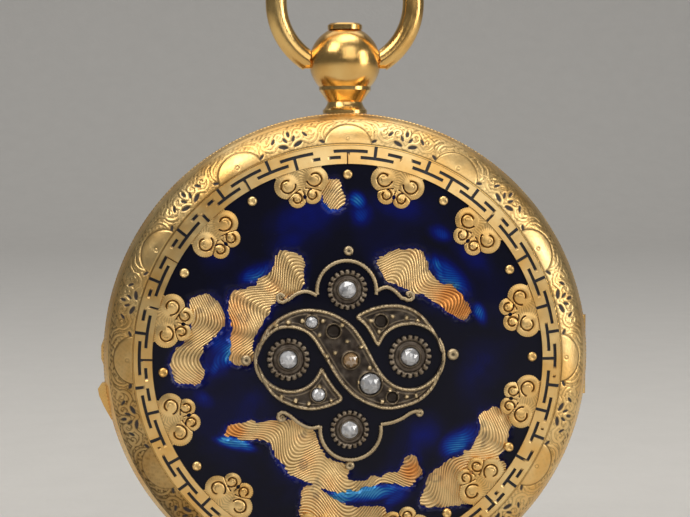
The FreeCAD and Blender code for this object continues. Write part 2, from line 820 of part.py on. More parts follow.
def build_bow():
    ring_radius, wire = size("bow_ring_radius"), size("bow_wire_radius")
    end_reach = 2.72
    gap = math.degrees(math.asin(end_reach / plain(ring_radius)))
    ring = DOC.addObject("Part::Torus", "bow_ring")
    bind(ring, "Radius1", ring_radius)
    bind(ring, "Radius2", wire)
    ring.Angle3 = 360 - 2 * gap
    centre = plain(size("ball_height")) + plain(size("bow_rise"))
    upright = Rotation(Vector(1, 0, 0), 90)
    ring.Placement = Placement(Vector(0, 0, centre), upright.multiply(Rotation(Vector(0, 0, 1), gap - 90)))
    hollow = DOC.addObject("Part::Sphere", "bow_hollow")
    bind(hollow, "Radius", size("ball_radius") + 0.05)
    hollow.Placement = Placement(Vector(0, 0, plain(size("ball_height"))), Rotation())
    pins = []
    for side in (-1, 1):
        pin = DOC.addObject("Part::Cylinder", f"bow_pin_{side + 1}")
        bind(pin, "Radius", size("bow_pin_radius"))
        pin.Height = 1.25
        pin.Placement = Placement(
            Vector(side * 1.85, 0, plain(size("ball_height"))), Rotation(Vector(0, 1, 0), 90 * side)
        )
        pins.append(pin)
    whole = fuse("bow_whole", [cut("bow_wire", ring, [hollow]), *pins])
    return node("bow", whole, Placement(UPRIGHT.Base, Rotation()))


# ---- movement


def train_places():
    """Where each arbor stands, worked out from its gears and bearings."""
    def depth(module, one, other):
        return plain(size(module)) * (plain(size(one)) + plain(size(other))) / 2

    places = {"centre": (0.0, 0.0)}
    barrel_run = depth("barrel_module", "barrel_teeth", "centre_leaves")
    places["barrel"] = polar((0, 0), barrel_run, plain(size("barrel_bearing")))
    third_run = depth("centre_module", "centre_teeth", "third_leaves")
    places["third"] = polar((0, 0), third_run, plain(size("third_bearing")))
    fourth_run = depth("third_module", "third_teeth", "fourth_leaves")
    places["fourth"] = polar(places["third"], fourth_run, plain(size("fourth_bearing")))
    escape_run = depth("fourth_module", "fourth_teeth", "escape_leaves")
    places["escape"] = polar(places["fourth"], escape_run, plain(size("escape_bearing")))
    cylinder_run = plain(size("cylinder_distance"))
    places["balance"] = polar(places["escape"], cylinder_run, plain(size("balance_bearing")))
    motion_run = depth("motion_module", "cannon_leaves", "minute_teeth")
    places["minute"] = polar((0, 0), motion_run, plain(size("motion_bearing")))
    return places


FEET = {
    "barrel_left": (-4.6, 9.5),
    "barrel_right": (11.5, 4.0),
    "centre": (-6.4, 1.2),
    "third": (6.6, -6.5),
    "fourth": (0.6, -10.6),
    "balance": (-11.2, -1.2),
    "escape": (-6.9, -10.0),
}
DIAL_FEET = ((13.0, 100), (13.0, 345), (13.0, 215))
DOG_SCREWS = ((-10.9, 9.1), (12.9, -6.0))
SCREW_HEAD_RADIUS = 0.75
SCREW_SHANK_RADIUS = 0.35
SCREW_DEPTH = -0.1


def build_main_plate(at):
    back, front = size("plate_back"), size("plate_front")
    disc = turned(
        "plate_disc",
        [
            (0, front),
            (size("flange_radius"), front),
            (size("flange_radius"), -0.5),
            (size("movement_radius"), -0.5),
            (size("movement_radius"), back),
            (0, back),
        ],
    )
    through = front - 0.1
    above = back + 0.1
    tools = [
        rod("plate_barrel_pocket", at["barrel"], -0.7, above, 6.2),
        rod("plate_barrel_hole", at["barrel"], through, above, 0.42),
        rod("plate_centre_hole", at["centre"], through, above, 0.58),
    ]
    for name in ("third", "fourth", "escape", "balance"):
        tools.append(rod(f"plate_jewel_seat_{name}", at[name], 0.0, above, size("jewel_radius") + 0.01))
        tools.append(rod(f"plate_oil_sink_{name}", at[name], through, above, 0.25))
    for number, (radius, bearing) in enumerate(DIAL_FEET):
        tools.append(rod(f"plate_foot_hole_{number}", polar((0, 0), radius, bearing), through, above, 0.45))
    for name, place in FEET.items():
        hole = SCREW_SHANK_RADIUS + 0.02
        tools.append(rod(f"plate_screw_hole_{name}", place, SCREW_DEPTH - 0.1, above, hole))
    for number, place in enumerate(DOG_SCREWS):
        tools.append(rod(f"plate_dog_hole_{number}", place, -0.65, above, 0.42))
    stud = rod("minute_stud", at["minute"], -1.85, front + 0.2, 0.3)
    return node("main_plate", fuse("plate", [cut("plate_drilled", disc, tools), stud]))


def screw_hole(name, place, low, top):
    """The counterbore and shank hole of a bridge screw."""
    return [
        rod(f"{name}_head_hole", place, top - 0.24, top + 0.1, SCREW_HEAD_RADIUS + 0.03),
        rod(f"{name}_shank_hole", place, low, top, SCREW_SHANK_RADIUS + 0.02),
    ]


def cock(label, pivot, foot, pivot_radius, foot_radius, low, high, extra=(), bore=0.25, jewel=True):
    """A bar screwed down by one foot, with a jewel hole over the arbor at its free end."""
    floor = size("plate_back")
    arm = prism(f"{label}_arm", capsule(pivot, foot, pivot_radius, foot_radius), low, high)
    leg = rod(f"{label}_leg", foot, floor, high, foot_radius)
    tools = screw_hole(label, foot, plain(floor) - 0.1, plain(high))
    tools.append(rod(f"{label}_pivot_hole", pivot, low - 0.1, high + 0.1, bore))
    if jewel:
        thick = min(0.4, plain(high) - plain(low))
        top = low + thick if thick == 0.4 else high + 0.1
        tools.append(rod(f"{label}_jewel_seat", pivot, low - 0.1, top, size("jewel_radius") + 0.01))
    return node(label, cut(f"{label}_body", fuse(f"{label}_fused", [arm, leg]), [*tools, *extra]))


def build_bridges(at):
    low, high = size("bridge_front"), size("bridge_back")
    floor = size("plate_back")
    left, right, barrel = FEET["barrel_left"], FEET["barrel_right"], at["barrel"]
    pieces = [
        rod("barrel_bridge_middle", barrel, low, high, 3.9),
        prism("barrel_bridge_left", capsule(barrel, left, 2.6, 1.4), low, high),
        prism("barrel_bridge_right", capsule(barrel, right, 2.6, 1.4), low, high),
        rod("barrel_bridge_left_leg", left, floor, high, 1.15),
        rod("barrel_bridge_right_leg", right, floor, high, 1.15),
    ]
    tools = [rod("barrel_bridge_hole", barrel, low - 0.1, high + 0.1, 0.62)]
    tools += screw_hole("barrel_bridge_left_screw", left, plain(floor) - 0.1, plain(high))
    tools += screw_hole("barrel_bridge_right_screw", right, plain(floor) - 0.1, plain(high))
    click_place = click_pivot(at)
    tools.append(rod("barrel_bridge_click_hole", click_place, high - 0.6, high + 0.1, 0.22))
    tools.append(rod("barrel_bridge_spring_hole", spring_foot(at), high - 0.6, high + 0.1, 0.22))
    node("barrel_bridge", cut("barrel_bridge_body", fuse("barrel_bridge_fused", pieces), tools))

    cock("centre_bridge", at["centre"], FEET["centre"], 1.2, 1.3, low, high, bore=0.58, jewel=False)
    cock("third_cock", at["third"], FEET["third"], 1.0, 1.3, low, high)
    cock("fourth_cock", at["fourth"], FEET["fourth"], 1.0, 1.3, low, high)
    cock(
        "escape_cock",
        at["escape"],
        FEET["escape"],
        0.7,
        1.0,
        size("escape_cock_front"),
        size("escape_cock_back"),
    )
    stud_hole = rod("stud_hole", stud_place(at), 2.0, 3.0, 0.16)
    cock(
        "balance_cock",
        at["balance"],
        FEET["balance"],
        1.6,
        1.5,
        size("balance_cock_front"),
        high,
        [stud_hole],
    )


def jewel(name, place, low, high, hole):
    stone = rod(f"{name}_stone", place, low, high, size("jewel_radius"))
    return cut(name, stone, [rod(f"{name}_hole", place, plain(low) - 0.1, plain(high) + 0.1, hole)])


def build_jewels(at):
    hole = size("pivot_radius") + 0.02
    plate, cocks = [], []
    for name in ("third", "fourth", "escape", "balance"):
        plate.append(jewel(f"plate_jewel_{name}", at[name], 0.0, size("plate_back"), hole))
    low, back = size("bridge_front"), size("escape_cock_back")
    cocks.append(jewel("cock_jewel_third", at["third"], low, low + 0.4, hole))
    cocks.append(jewel("cock_jewel_fourth", at["fourth"], low, low + 0.4, hole))
    cocks.append(jewel("cock_jewel_escape", at["escape"], size("escape_cock_front"), back, hole))
    balance_low = size("balance_cock_front")
    cocks.append(jewel("cock_jewel_balance", at["balance"], balance_low, balance_low + 0.4, hole))
    node("plate_jewels", group("plate_jewel_set", plate))
    node("cock_jewels", group("cock_jewel_set", cocks))


def screw(name, place, head_low, head_high, head_radius, shank_low, shank_radius):
    """A slotted cheese-head screw."""
    head = rod(f"{name}_head", place, head_low, head_high, head_radius)
    shank = rod(f"{name}_shank", place, shank_low, head_low, shank_radius)
    corner = (place[0] - 2, place[1] - 0.08, head_high - 0.12)
    slot = block(f"{name}_slot", corner, 4, 0.16, 1.0)
    return cut(name, fuse(f"{name}_blank", [head, shank]), [slot])


def build_screws():
    high, cock_back = plain(size("bridge_back")), plain(size("escape_cock_back"))
    bridge = []
    for name, place in FEET.items():
        top = cock_back if name == "escape" else high
        shank = (SCREW_DEPTH, SCREW_SHANK_RADIUS)
        bridge.append(screw(f"screw_{name}", place, top - 0.22, top, SCREW_HEAD_RADIUS, *shank))
    node("bridge_screws", group("bridge_screw_set", bridge))
    dogs = [screw(f"dog_screw_{i}", place, 0.42, 0.78, 0.9, -0.6, 0.4) for i, place in enumerate(DOG_SCREWS)]
    node("case_screws", group("dog_screw_set", dogs))


def wheel(name, place, teeth, module, low, high, hub, rim_depth, arms, turn):
    """A toothed wheel with its arms crossed out."""
    count, pitch = plain(size(teeth)), plain(size(module))
    blank = prism(f"{name}_blank", toothed(count, pitch), low, high, place, turn)
    rim = count * pitch / 2 - rim_depth
    openings = windows(name, arms, hub, rim, 0.35 + rim * 0.04, low - 0.1, high + 0.1, place)
    return cut(name, blank, openings)


def pinion(name, place, leaves, module, low, high, turn):
    outline = toothed(plain(size(leaves)), plain(size(module)))
    return prism(name, outline, low, high, place, turn)


def facing(start, end, leaves=None):
    """The turn that centres a tooth on the way to end, or, given leaves, a gap."""
    turn = bearing_of(start, end)
    return turn if leaves is None else turn + HALF_TOOTH / plain(size(leaves))


def arbor(name, place, low, high, radius, lower_pivot, upper_pivot):
    """A staff with a pivot at each end, as rods to be fused."""
    pivot = size("pivot_radius")
    return [
        rod(f"{name}_staff", place, low, high, radius),
        rod(f"{name}_lower_pivot", place, lower_pivot, low, pivot),
        rod(f"{name}_upper_pivot", place, high, upper_pivot, pivot),
    ]


def build_barrel(at):
    place = at["barrel"]
    teeth = plain(size("barrel_teeth"))
    turn = facing(place, at["centre"])
    ring = prism("barrel_teeth_ring", toothed(teeth, plain(size("barrel_module"))), 0.5, 0.9, place, turn)
    drum = rod("barrel_drum", place, -0.55, 1.2, 6.1)
    tools = [
        rod("barrel_inside", place, -0.35, 1.3, 5.8),
        rod("barrel_bore", place, -0.8, 0.0, 0.62),
    ]
    node("barrel", cut("barrel_body", fuse("barrel_fused", [ring, drum]), tools))
    lid = rod("barrel_lid", place, 0.98, 1.18, 5.78)
    node("barrel_cover", cut("barrel_cover_body", lid, [rod("barrel_lid_bore", place, 0.9, 1.3, 0.62)]))
    square = plain(size("winding_square"))
    corner = (place[0] - square / 2, place[1] - square / 2, 2.98)
    arbor_pieces = [
        rod("barrel_arbor_pivot", place, -0.97, -0.56, 0.4),
        rod("barrel_arbor_body", place, -0.56, 2.98, 0.6),
        rod("barrel_arbor_hub", place, -0.33, 0.96, 1.0),
        block("winding_square_block", corner, square, square, size("square_top") - 2.98),
    ]
    node("barrel_arbor", fuse("barrel_arbor_fused", arbor_pieces))
    coil = prism("mainspring_coil", spiral(5.76, 3.6, 9, 0.12), -0.33, 0.94, place, 20)
    node("mainspring", coil)
    ratchet = prism("ratchet_blank", saw_toothed(24, 2.2, 1.95), 2.78, 2.98, place)
    node("ratchet_wheel", cut("ratchet_body", ratchet, [rod("ratchet_bore", place, 2.7, 3.1, 0.6)]))


def click_pivot(at):
    return polar(at["barrel"], 3.3, 65)


def spring_foot(at):
    return polar(at["barrel"], 3.35, -20)


def build_click(at):
    pivot, tip = click_pivot(at), polar(at["barrel"], 2.16, 35)
    arm = prism("click_arm", capsule(pivot, tip, 0.45, 0.08), 2.78, 2.96)
    node("click", cut("click_body", arm, [rod("click_bore", pivot, 2.7, 3.0, 0.22)]))
    post = screw("click_post", pivot, 2.97, 3.07, 0.4, 2.2, 0.2)
    node("click_screw", post)
    foot = spring_foot(at)
    blade_end = polar(at["barrel"], 2.75, 33)
    pieces = [
        rod("click_spring_foot", foot, 2.77, 2.93, 0.42),
        rod("click_spring_peg", foot, 2.2, 2.77, 0.2),
        prism("click_spring_blade", capsule(foot, blade_end, 0.14, 0.05), 2.77, 2.93),
    ]
    node("click_spring", fuse("click_spring_fused", pieces))


def build_train(at):
    centre, third, fourth, escape = (at[n] for n in ("centre", "third", "fourth", "escape"))
    centre_pieces = [
        pinion("centre_pinion", centre, "centre_leaves", "barrel_module", 0.45, 1.35,
               facing(centre, at["barrel"], "centre_leaves")),
        wheel("centre_plate", centre, "centre_teeth", "centre_module", 1.5, 1.7, 0.9, 0.45, 4,
              facing(centre, third)),
        rod("centre_staff", centre, -0.98, 2.7, 0.55),
    ]
    bore = rod("centre_bore", centre, -1.2, 3.0, 0.31)
    node("centre_wheel", cut("centre_body", fuse("centre_fused", centre_pieces), [bore]))

    third_pieces = [
        wheel("third_plate", third, "third_teeth", "third_module", 0.6, 0.75, 0.5, 0.4, 4,
              facing(third, fourth)),
        pinion("third_pinion", third, "third_leaves", "centre_module", 1.35, 1.85,
               facing(third, centre, "third_leaves")),
        *arbor("third", third, 0.43, 1.87, 0.22, 0.05, 2.26),
    ]
    node("third_wheel", fuse("third_fused", third_pieces))

    fourth_pieces = [
        pinion("fourth_pinion", fourth, "fourth_leaves", "third_module", 0.5, 0.9,
               facing(fourth, third, "fourth_leaves")),
        wheel("fourth_plate", fourth, "fourth_teeth", "fourth_module", 1.05, 1.2, 0.5, 0.4, 4,
              facing(fourth, escape)),
        *arbor("fourth", fourth, 0.43, 1.87, 0.22, 0.05, 2.26),
    ]
    node("fourth_wheel", fuse("fourth_fused", fourth_pieces))

    tip = plain(size("escape_tip_radius"))
    blank = prism("escape_blank", saw_toothed(15, tip, tip - 0.5), 0.5, 0.65, escape)
    plate = cut("escape_plate", blank, windows("escape_plate", 3, 0.4, tip - 0.75, 0.3, 0.4, 0.75, escape))
    escape_pieces = [
        plate,
        pinion("escape_pinion", escape, "escape_leaves", "fourth_module", 0.93, 1.22,
               facing(escape, fourth, "escape_leaves")),
        *arbor("escape", escape, 0.43, 1.23, 0.16, 0.05, 1.46),
    ]
    node("escape_wheel", fuse("escape_fused", escape_pieces))


def build_balance(at):
    place = at["balance"]
    radius = size("balance_radius")
    rim = plain(radius) - 0.6
    blank = rod("balance_blank", place, 1.55, 1.8, radius)
    openings = windows("balance", 3, 0.8, rim, 0.6, 1.4, 1.9, place)
    node("balance_wheel", cut("balance_body", blank, [*openings, rod("balance_bore", place, 1.4, 1.9, 0.3)]))

    staff = [
        rod("cylinder_pivot", place, 0.05, 0.43, size("pivot_radius")),
        rod("cylinder_tube", place, 0.43, 1.3, 0.25),
        rod("cylinder_shoulder", place, 1.3, 1.54, 0.38),
        rod("cylinder_seat", place, 1.54, 1.83, 0.3),
        rod("cylinder_collet", place, 1.83, 2.15, 0.42),
        rod("cylinder_upper", place, 2.15, 2.28, 0.2),
        rod("cylinder_upper_pivot", place, 2.28, 2.68, size("pivot_radius")),
    ]
    notch = block("cylinder_notch", (-0.05, -0.4, 0.47), 0.6, 0.8, 0.24)
    turn = bearing_of(place, at["escape"])
    notch.Placement = Placement(Vector(*place, 0), Rotation(Vector(0, 0, 1), turn)).multiply(notch.Placement)
    node("balance_cylinder", cut("cylinder_body", fuse("cylinder_fused", staff), [notch]))

    outward = bearing_of(place, FEET["balance"])
    coil = prism("hairspring_coil", spiral(2.2, 0.5, 8, 0.04), 1.95, 2.1, place, outward + STUD_TURN)
    node("hairspring", coil)
    node("hairspring_stud", rod("stud", stud_place(at), 1.92, 2.74, 0.15))
    node("balance_endstone", endstone(place))

    pins = []
    for number, pin_radius in enumerate((2.09, 2.27)):
        spot = polar(place, pin_radius, outward + 180)
        pins.append(rod(f"curb_pin_{number}", spot, 1.92, 2.85, 0.04))
    tail = polar(place, 2.18, outward + 180)
    pointer = polar(place, 4.4, outward)
    pieces = [
        rod("regulator_ring", place, 2.77, 2.9, 1.2),
        prism("regulator_tail", capsule(place, tail, 0.9, 0.22), 2.77, 2.9),
        prism("regulator_pointer", capsule(place, pointer, 0.6, 0.08), 2.77, 2.9),
        *pins,
    ]
    hole = rod("regulator_hole", place, 2.7, 3.0, 0.78)
    node("regulator", cut("regulator_body", fuse("regulator_fused", pieces), [hole]))


STUD_TURN = 20


def stud_place(at):
    outward = bearing_of(at["balance"], FEET["balance"])
    return polar(at["balance"], 2.18 + 0.17, outward + STUD_TURN)


def endstone(place):
    """The capped jewel in the middle of the balance cock."""
    return turned_at("endstone", place, [(0, 2.77), (0.75, 2.77), (0.75, 2.9), (0.45, 2.99), (0, 2.99)])


def turned_at(name, place, outline):
    body = turned(name, outline)
    return set_down(body, place[0], place[1], 0)


# ---- motion work, dial and hands


def build_motion_work(at):
    centre, minute = at["centre"], at["minute"]
    square, shoulder = plain(size("setting_square")), 2.86
    tall = size("square_top") - shoulder
    arbor_pieces = [
        rod("setting_staff", centre, -3.6, shoulder, 0.28),
        rod("setting_shoulder", centre, 2.77, shoulder, 0.5),
        block("setting_square_block", (-square / 2, -square / 2, shoulder), square, square, tall),
    ]
    node("setting_arbor", fuse("setting_fused", arbor_pieces))

    cannon = [
        pinion("cannon_leaves_part", centre, "cannon_leaves", "motion_module", -1.42, -1.06,
               facing(centre, minute)),
        rod("cannon_tube", centre, -3.2, -1.06, 0.45),
        rod("cannon_nose", centre, -3.58, -3.2, 0.36),
    ]
    bore = rod("cannon_bore", centre, -4.0, 0.0, 0.285)
    node("cannon_pinion", cut("cannon_body", fuse("cannon_fused", cannon), [bore]))

    turn = facing(minute, centre, "minute_teeth")
    minute_pieces = [
        wheel("minute_plate", minute, "minute_teeth", "motion_module", -1.3, -1.1, 0.8, 0.45, 3, turn),
        pinion("minute_pinion", minute, "minute_leaves", "hour_module", -1.8, -1.25,
               facing(minute, centre)),
    ]
    hole = rod("minute_bore", minute, -2.0, -1.0, 0.32)
    node("minute_wheel", cut("minute_body", fuse("minute_fused", minute_pieces), [hole]))

    turn = facing(centre, minute, "hour_teeth")
    teeth = toothed(plain(size("hour_teeth")), plain(size("hour_module")))
    hour_pieces = [
        prism("hour_plate", teeth, -1.8, -1.55, centre, turn),
        rod("hour_pipe", centre, -3.0, -1.55, 0.75),
    ]
    hole = rod("hour_bore", centre, -3.2, -1.0, 0.48)
    node("hour_wheel", cut("hour_body", fuse("hour_fused", hour_pieces), [hole]))


def build_dial():
    face, back = size("dial_face"), size("dial_back")
    disc = turned(
        "dial_disc",
        [(1.0, face), (size("dial_radius"), face), (size("dial_radius"), back), (1.0, back)],
    )
    feet = []
    for number, (radius, bearing) in enumerate(DIAL_FEET):
        feet.append(rod(f"dial_foot_{number}", polar((0, 0), radius, bearing), back, 0.2, 0.4))
    return node("dial", fuse("dial_fused", [disc, *feet]))


def hand(label, reach, eye_distance, eye_radius, boss, bore, low, high, clock_angle):
    """A blued moon hand: boss, tapered shank, round eye and slim tip, pointing up before it is turned."""
    shank = closed([(-0.24, 0), (0.24, 0), (0.15, eye_distance), (-0.15, eye_distance)])
    past_eye = eye_distance + 0.6 * eye_radius
    tip = closed([(-0.32, past_eye), (0.32, past_eye), (0.05, reach), (-0.05, reach)])
    pieces = [
        rod(f"{label}_boss", (0, 0), low, high, boss),
        prism(f"{label}_shank", shank, low, high),
        rod(f"{label}_eye", (0, eye_distance), low, high, eye_radius),
        prism(f"{label}_tip", tip, low, high),
        prism(f"{label}_tail", capsule((0, 0), (0, -1.8), 0.3, 0.2), low, high),
    ]
    tools = [
        rod(f"{label}_bore", (0, 0), low - 0.1, high + 0.1, bore),
        rod(f"{label}_moon", (0, eye_distance - 0.12 * eye_radius), low - 0.1, high + 0.1, 0.68 * eye_radius),
    ]
    body = cut(f"{label}_body", fuse(f"{label}_fused", pieces), tools)
    body.Placement = Placement(Vector(), Rotation(Vector(0, 0, 1), clock_angle))
    return node(label, body)


def build_hands():
    hand("hour_hand", 8.2, 5.4, 0.95, 1.15, 0.75, -2.97, -2.79, 304)
    hand("minute_hand", 12.4, 8.6, 0.8, 0.85, 0.36, -3.45, -3.27, 48)


# ---- the whole watch


def check_model():
    """Stop at any object that did not compute, or any sub-part that isn't a sound shape."""
    for thing in DOC.Objects:
        if "Invalid" in thing.State or "Error" in thing.State:
            raise RuntimeError(f"{thing.Label} did not compute: {thing.State}")
    for label, thing in NODES.items():
        shape = thing.Shape
        if shape.isNull() or not shape.isValid() or not shape.Solids:
            raise RuntimeError(f"{label} is not a sound solid")


def build():
    fill_sheet()
    at = train_places()
    build_case_band(DOG_SCREWS)
    build_hinge_pins()
    build_back_cover()
    build_back_enamel()
    build_motif()
    build_motif_wires()
    build_cuvette([at["barrel"], at["centre"]])
    build_bezel()
    build_crystal()
    build_pendant()
    build_bow()
    build_main_plate(at)
    build_bridges(at)
    build_jewels(at)
    build_screws()
    build_barrel(at)
    build_click(at)
    build_train(at)
    build_balance(at)
    build_motion_work(at)
    build_dial()
    build_hands()
    DOC.recompute()
    check_model()
    os.makedirs("parts", exist_ok=True)
    for label, thing in NODES.items():
        thing.Shape.exportStep(f"parts/{label}.step")
        print(f"{label:20s} {len(thing.Shape.Solids):3d} solids {thing.Shape.Volume:10.3f} mm3")


build()
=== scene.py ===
import json
import math

import bpy
import numpy as np
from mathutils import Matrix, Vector


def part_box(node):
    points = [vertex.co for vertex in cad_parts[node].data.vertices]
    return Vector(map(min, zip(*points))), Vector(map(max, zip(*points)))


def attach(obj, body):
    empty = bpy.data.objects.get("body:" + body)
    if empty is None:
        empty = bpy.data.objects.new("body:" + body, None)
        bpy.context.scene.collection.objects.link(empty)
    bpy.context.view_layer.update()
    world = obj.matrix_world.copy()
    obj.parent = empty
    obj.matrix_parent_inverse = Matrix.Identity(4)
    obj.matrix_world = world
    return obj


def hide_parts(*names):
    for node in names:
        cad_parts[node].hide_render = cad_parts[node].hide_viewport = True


# A gold and blue enamel fob watch, seen from its back. Shapes are worked out in the watch's own frame, in
# millimetres: x right and y up as seen from the back, z out of the back cover, centred on the watch. placed()
# turns them into the row frame in metres.

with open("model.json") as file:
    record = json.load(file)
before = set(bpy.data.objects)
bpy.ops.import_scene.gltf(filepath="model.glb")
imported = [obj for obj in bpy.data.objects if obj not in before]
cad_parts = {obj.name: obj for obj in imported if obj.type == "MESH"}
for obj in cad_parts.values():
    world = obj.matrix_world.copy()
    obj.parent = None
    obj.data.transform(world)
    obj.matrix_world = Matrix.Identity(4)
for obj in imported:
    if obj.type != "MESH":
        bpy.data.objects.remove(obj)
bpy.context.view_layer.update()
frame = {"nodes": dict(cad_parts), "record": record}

# ---- places and sizes taken from the frame, in mm

enamel_low, enamel_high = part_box("back_enamel")
CENTRE = 500 * (enamel_low.z + enamel_high.z)
FIELD = 500 * (enamel_high.x - enamel_low.x)
APEX = -1000 * enamel_low.y
cover_low, cover_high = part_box("back_cover")
CASE = 500 * (cover_high.z - cover_low.z)
DIAL_FACE = -1000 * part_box("dial")[1].y

# ---- the back cover's profile, as the part has it

FIELD_EDGE = 4.85
ENAMEL = 0.3
BAND = 15.7
BAND_HEIGHT = 4.6
SHOULDER = (17.35, 3.55)
COVER_EDGE = 2.1
SPHERE = (FIELD**2 + (APEX - FIELD_EDGE) ** 2) / (2 * (APEX - FIELD_EDGE))

# ---- numbers with a pattern


def chance(i, j, seed):
    """A repeatable number from 0 to 1 for each cell of a grid."""
    wild = np.sin(i * 127.1 + j * 311.7 + seed * 74.7) * 43758.5453
    return wild - np.floor(wild)


def cloud(x, y, size, seed):
    """Smooth noise from 0 to 1, with bumps about size mm apart."""
    u, v = x / size, y / size
    i, j = np.floor(u), np.floor(v)
    a, b = u - i, v - j
    a, b = a * a * (3 - 2 * a), b * b * (3 - 2 * b)
    low = chance(i, j, seed) * (1 - a) + chance(i + 1, j, seed) * a
    high = chance(i, j + 1, seed) * (1 - a) + chance(i + 1, j + 1, seed) * a
    return low * (1 - b) + high * b


def step(low, high, value):
    """0 below low, 1 above high, smooth between."""
    t = np.clip((value - low) / (high - low), 0, 1)
    return t * t * (3 - 2 * t)


def ridge(distance, width):
    """1 on a line, falling to 0 at half the width from it."""
    return 1 - step(0, width / 2, np.abs(distance))


# ---- outlines


def rounded(outline, times=2):
    """A closed outline with its corners cut."""
    points = np.array(outline, float)
    for _ in range(times):
        following = np.roll(points, -1, axis=0)
        cut = (0.75 * points + 0.25 * following, 0.25 * points + 0.75 * following)
        points = np.stack(cut, 1).reshape(-1, 2)
    return points


def from_line(path, x, y):
    """The distance from each place to an open line of points."""
    best = np.full(np.shape(x), 1e9)
    for (x0, y0), (x1, y1) in zip(path[:-1], path[1:]):
        dx, dy = x1 - x0, y1 - y0
        t = np.clip(((x - x0) * dx + (y - y0) * dy) / max(dx * dx + dy * dy, 1e-12), 0, 1)
        best = np.minimum(best, (x - x0 - t * dx) ** 2 + (y - y0 - t * dy) ** 2)
    return np.sqrt(best)


def depth_in(outline, x, y):
    """How far inside a closed outline each place is; outside it is negative."""
    closed = np.vstack([outline, outline[:1]])
    inside = np.zeros(np.shape(x), bool)
    for (x0, y0), (x1, y1) in zip(closed[:-1], closed[1:]):
        if y0 != y1:
            inside ^= ((y0 > y) != (y1 > y)) & (x < x0 + (x1 - x0) * (y - y0) / (y1 - y0))
    return np.where(inside, 1, -1) * from_line(closed, x, y)


def curve(points, per=8):
    """A smooth open line through the points."""
    p = np.array(points, float)
    p = np.vstack([2 * p[0] - p[1], p, 2 * p[-1] - p[-2]])
    t = np.linspace(0, 1, per, endpoint=False)[:, None]
    runs = []
    for a, b, c, d in zip(p[:-3], p[1:-2], p[2:-1], p[3:]):
        square, cube = 2 * a - 5 * b + 4 * c - d, 3 * b - a - 3 * c + d
        runs.append(b + 0.5 * ((c - a) * t + square * t**2 + cube * t**3))
    return np.vstack([*runs, p[-2]])


def arc(centre, radius, start, end, count=48, end_radius=None):
    """Points of an arc or, with an end radius, of a spiral; angles in degrees."""
    turn = np.radians(np.linspace(start, end, count))
    reach = np.linspace(radius, radius if end_radius is None else end_radius, count)
    return np.column_stack([centre[0] + reach * np.cos(turn), centre[1] + reach * np.sin(turn)])


def polar(radius, degrees):
    """The place at a radius and an angle in degrees."""
    return radius * math.cos(math.radians(degrees)), radius * math.sin(math.radians(degrees))


# ---- heights of the back cover


def dome(x, y):
    """The height of the enamel's dome."""
    return APEX - SPHERE + np.sqrt(SPHERE**2 - x**2 - y**2)


def shoulder_circle():
    """The centre and radius, in (radius, height), of the arc over the cover's rim."""
    (ax, ay), (bx, by), (cx, cy) = (BAND, BAND_HEIGHT), SHOULDER, (CASE, COVER_EDGE)
    lines = np.array([[bx - ax, by - ay], [cx - ax, cy - ay]])
    sums = 0.5 * np.array([bx**2 - ax**2 + by**2 - ay**2, cx**2 - ax**2 + cy**2 - ay**2])
    centre = np.linalg.solve(lines, sums)
    return centre, math.hypot(ax - centre[0], ay - centre[1])


SHOULDER_CENTRE, SHOULDER_RADIUS = shoulder_circle()
SHOULDER_FROM = math.atan2(BAND_HEIGHT - SHOULDER_CENTRE[1], BAND - SHOULDER_CENTRE[0])
SHOULDER_TO = math.atan2(COVER_EDGE - SHOULDER_CENTRE[1], CASE - SHOULDER_CENTRE[0])

# ---- meshes


def placed(points):
    """Millimetres in the watch's frame as metres in the row frame."""
    x, y, z = np.asarray(points, float).T
    return np.column_stack([x, -z, y + CENTRE]) / 1000


def piece(name, points, faces, paint, crisp=35, marks=None, body="back_cover"):
    """A mesh that rides on a body. Faces meeting at more than `crisp` degrees keep a sharp edge."""
    mesh = bpy.data.meshes.new(name)
    mesh.from_pydata(placed(points).tolist(), [], [list(map(int, f)) for f in faces])
    for label, values in (marks or {}).items():
        layer = mesh.attributes.new(label, "FLOAT", "POINT")
        layer.data.foreach_set("value", np.asarray(values, np.float32))
    mesh.set_sharp_from_angle(angle=math.radians(crisp))
    thing = shown(name, mesh, paint)
    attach(thing, body)
    return thing


def shown(name, mesh, paint):
    """An object of the scene with a smooth-shaded mesh."""
    mesh.polygons.foreach_set("use_smooth", [True] * len(mesh.polygons))
    mesh.materials.append(paint)
    return in_scene(name, mesh)


def in_scene(name, data):
    """A new object with this data, in the scene."""
    thing = bpy.data.objects.new(name, data)
    bpy.context.scene.collection.objects.link(thing)
    return thing


def circle(count):
    """Bearings once round, evenly spaced."""
    return np.linspace(0, 2 * math.pi, count, endpoint=False)


def pairs(first, second):
    """Every pair of two lists' values, the second changing fastest."""
    return [a.ravel() for a in np.meshgrid(first, second, indexing="ij")]


def round_axis(radius, bearing, height):
    """Points at radii and bearings round the watch's axis."""
    return np.column_stack([radius * np.cos(bearing), radius * np.sin(bearing), height])


def grid_faces(around, across, closed=True, tube=False):
    """Quads of a grid that is `around` by `across` points; it may close on itself both ways."""
    i = np.arange(around if closed else around - 1)[:, None]
    j = np.arange(across if tube else across - 1)[None, :]
    here, following, above = i * across, (i + 1) % around * across, (j + 1) % across
    corners = (following + j, following + above, here + above, here + j)
    return np.stack(np.broadcast_arrays(*corners), -1).reshape(-1, 4).tolist()


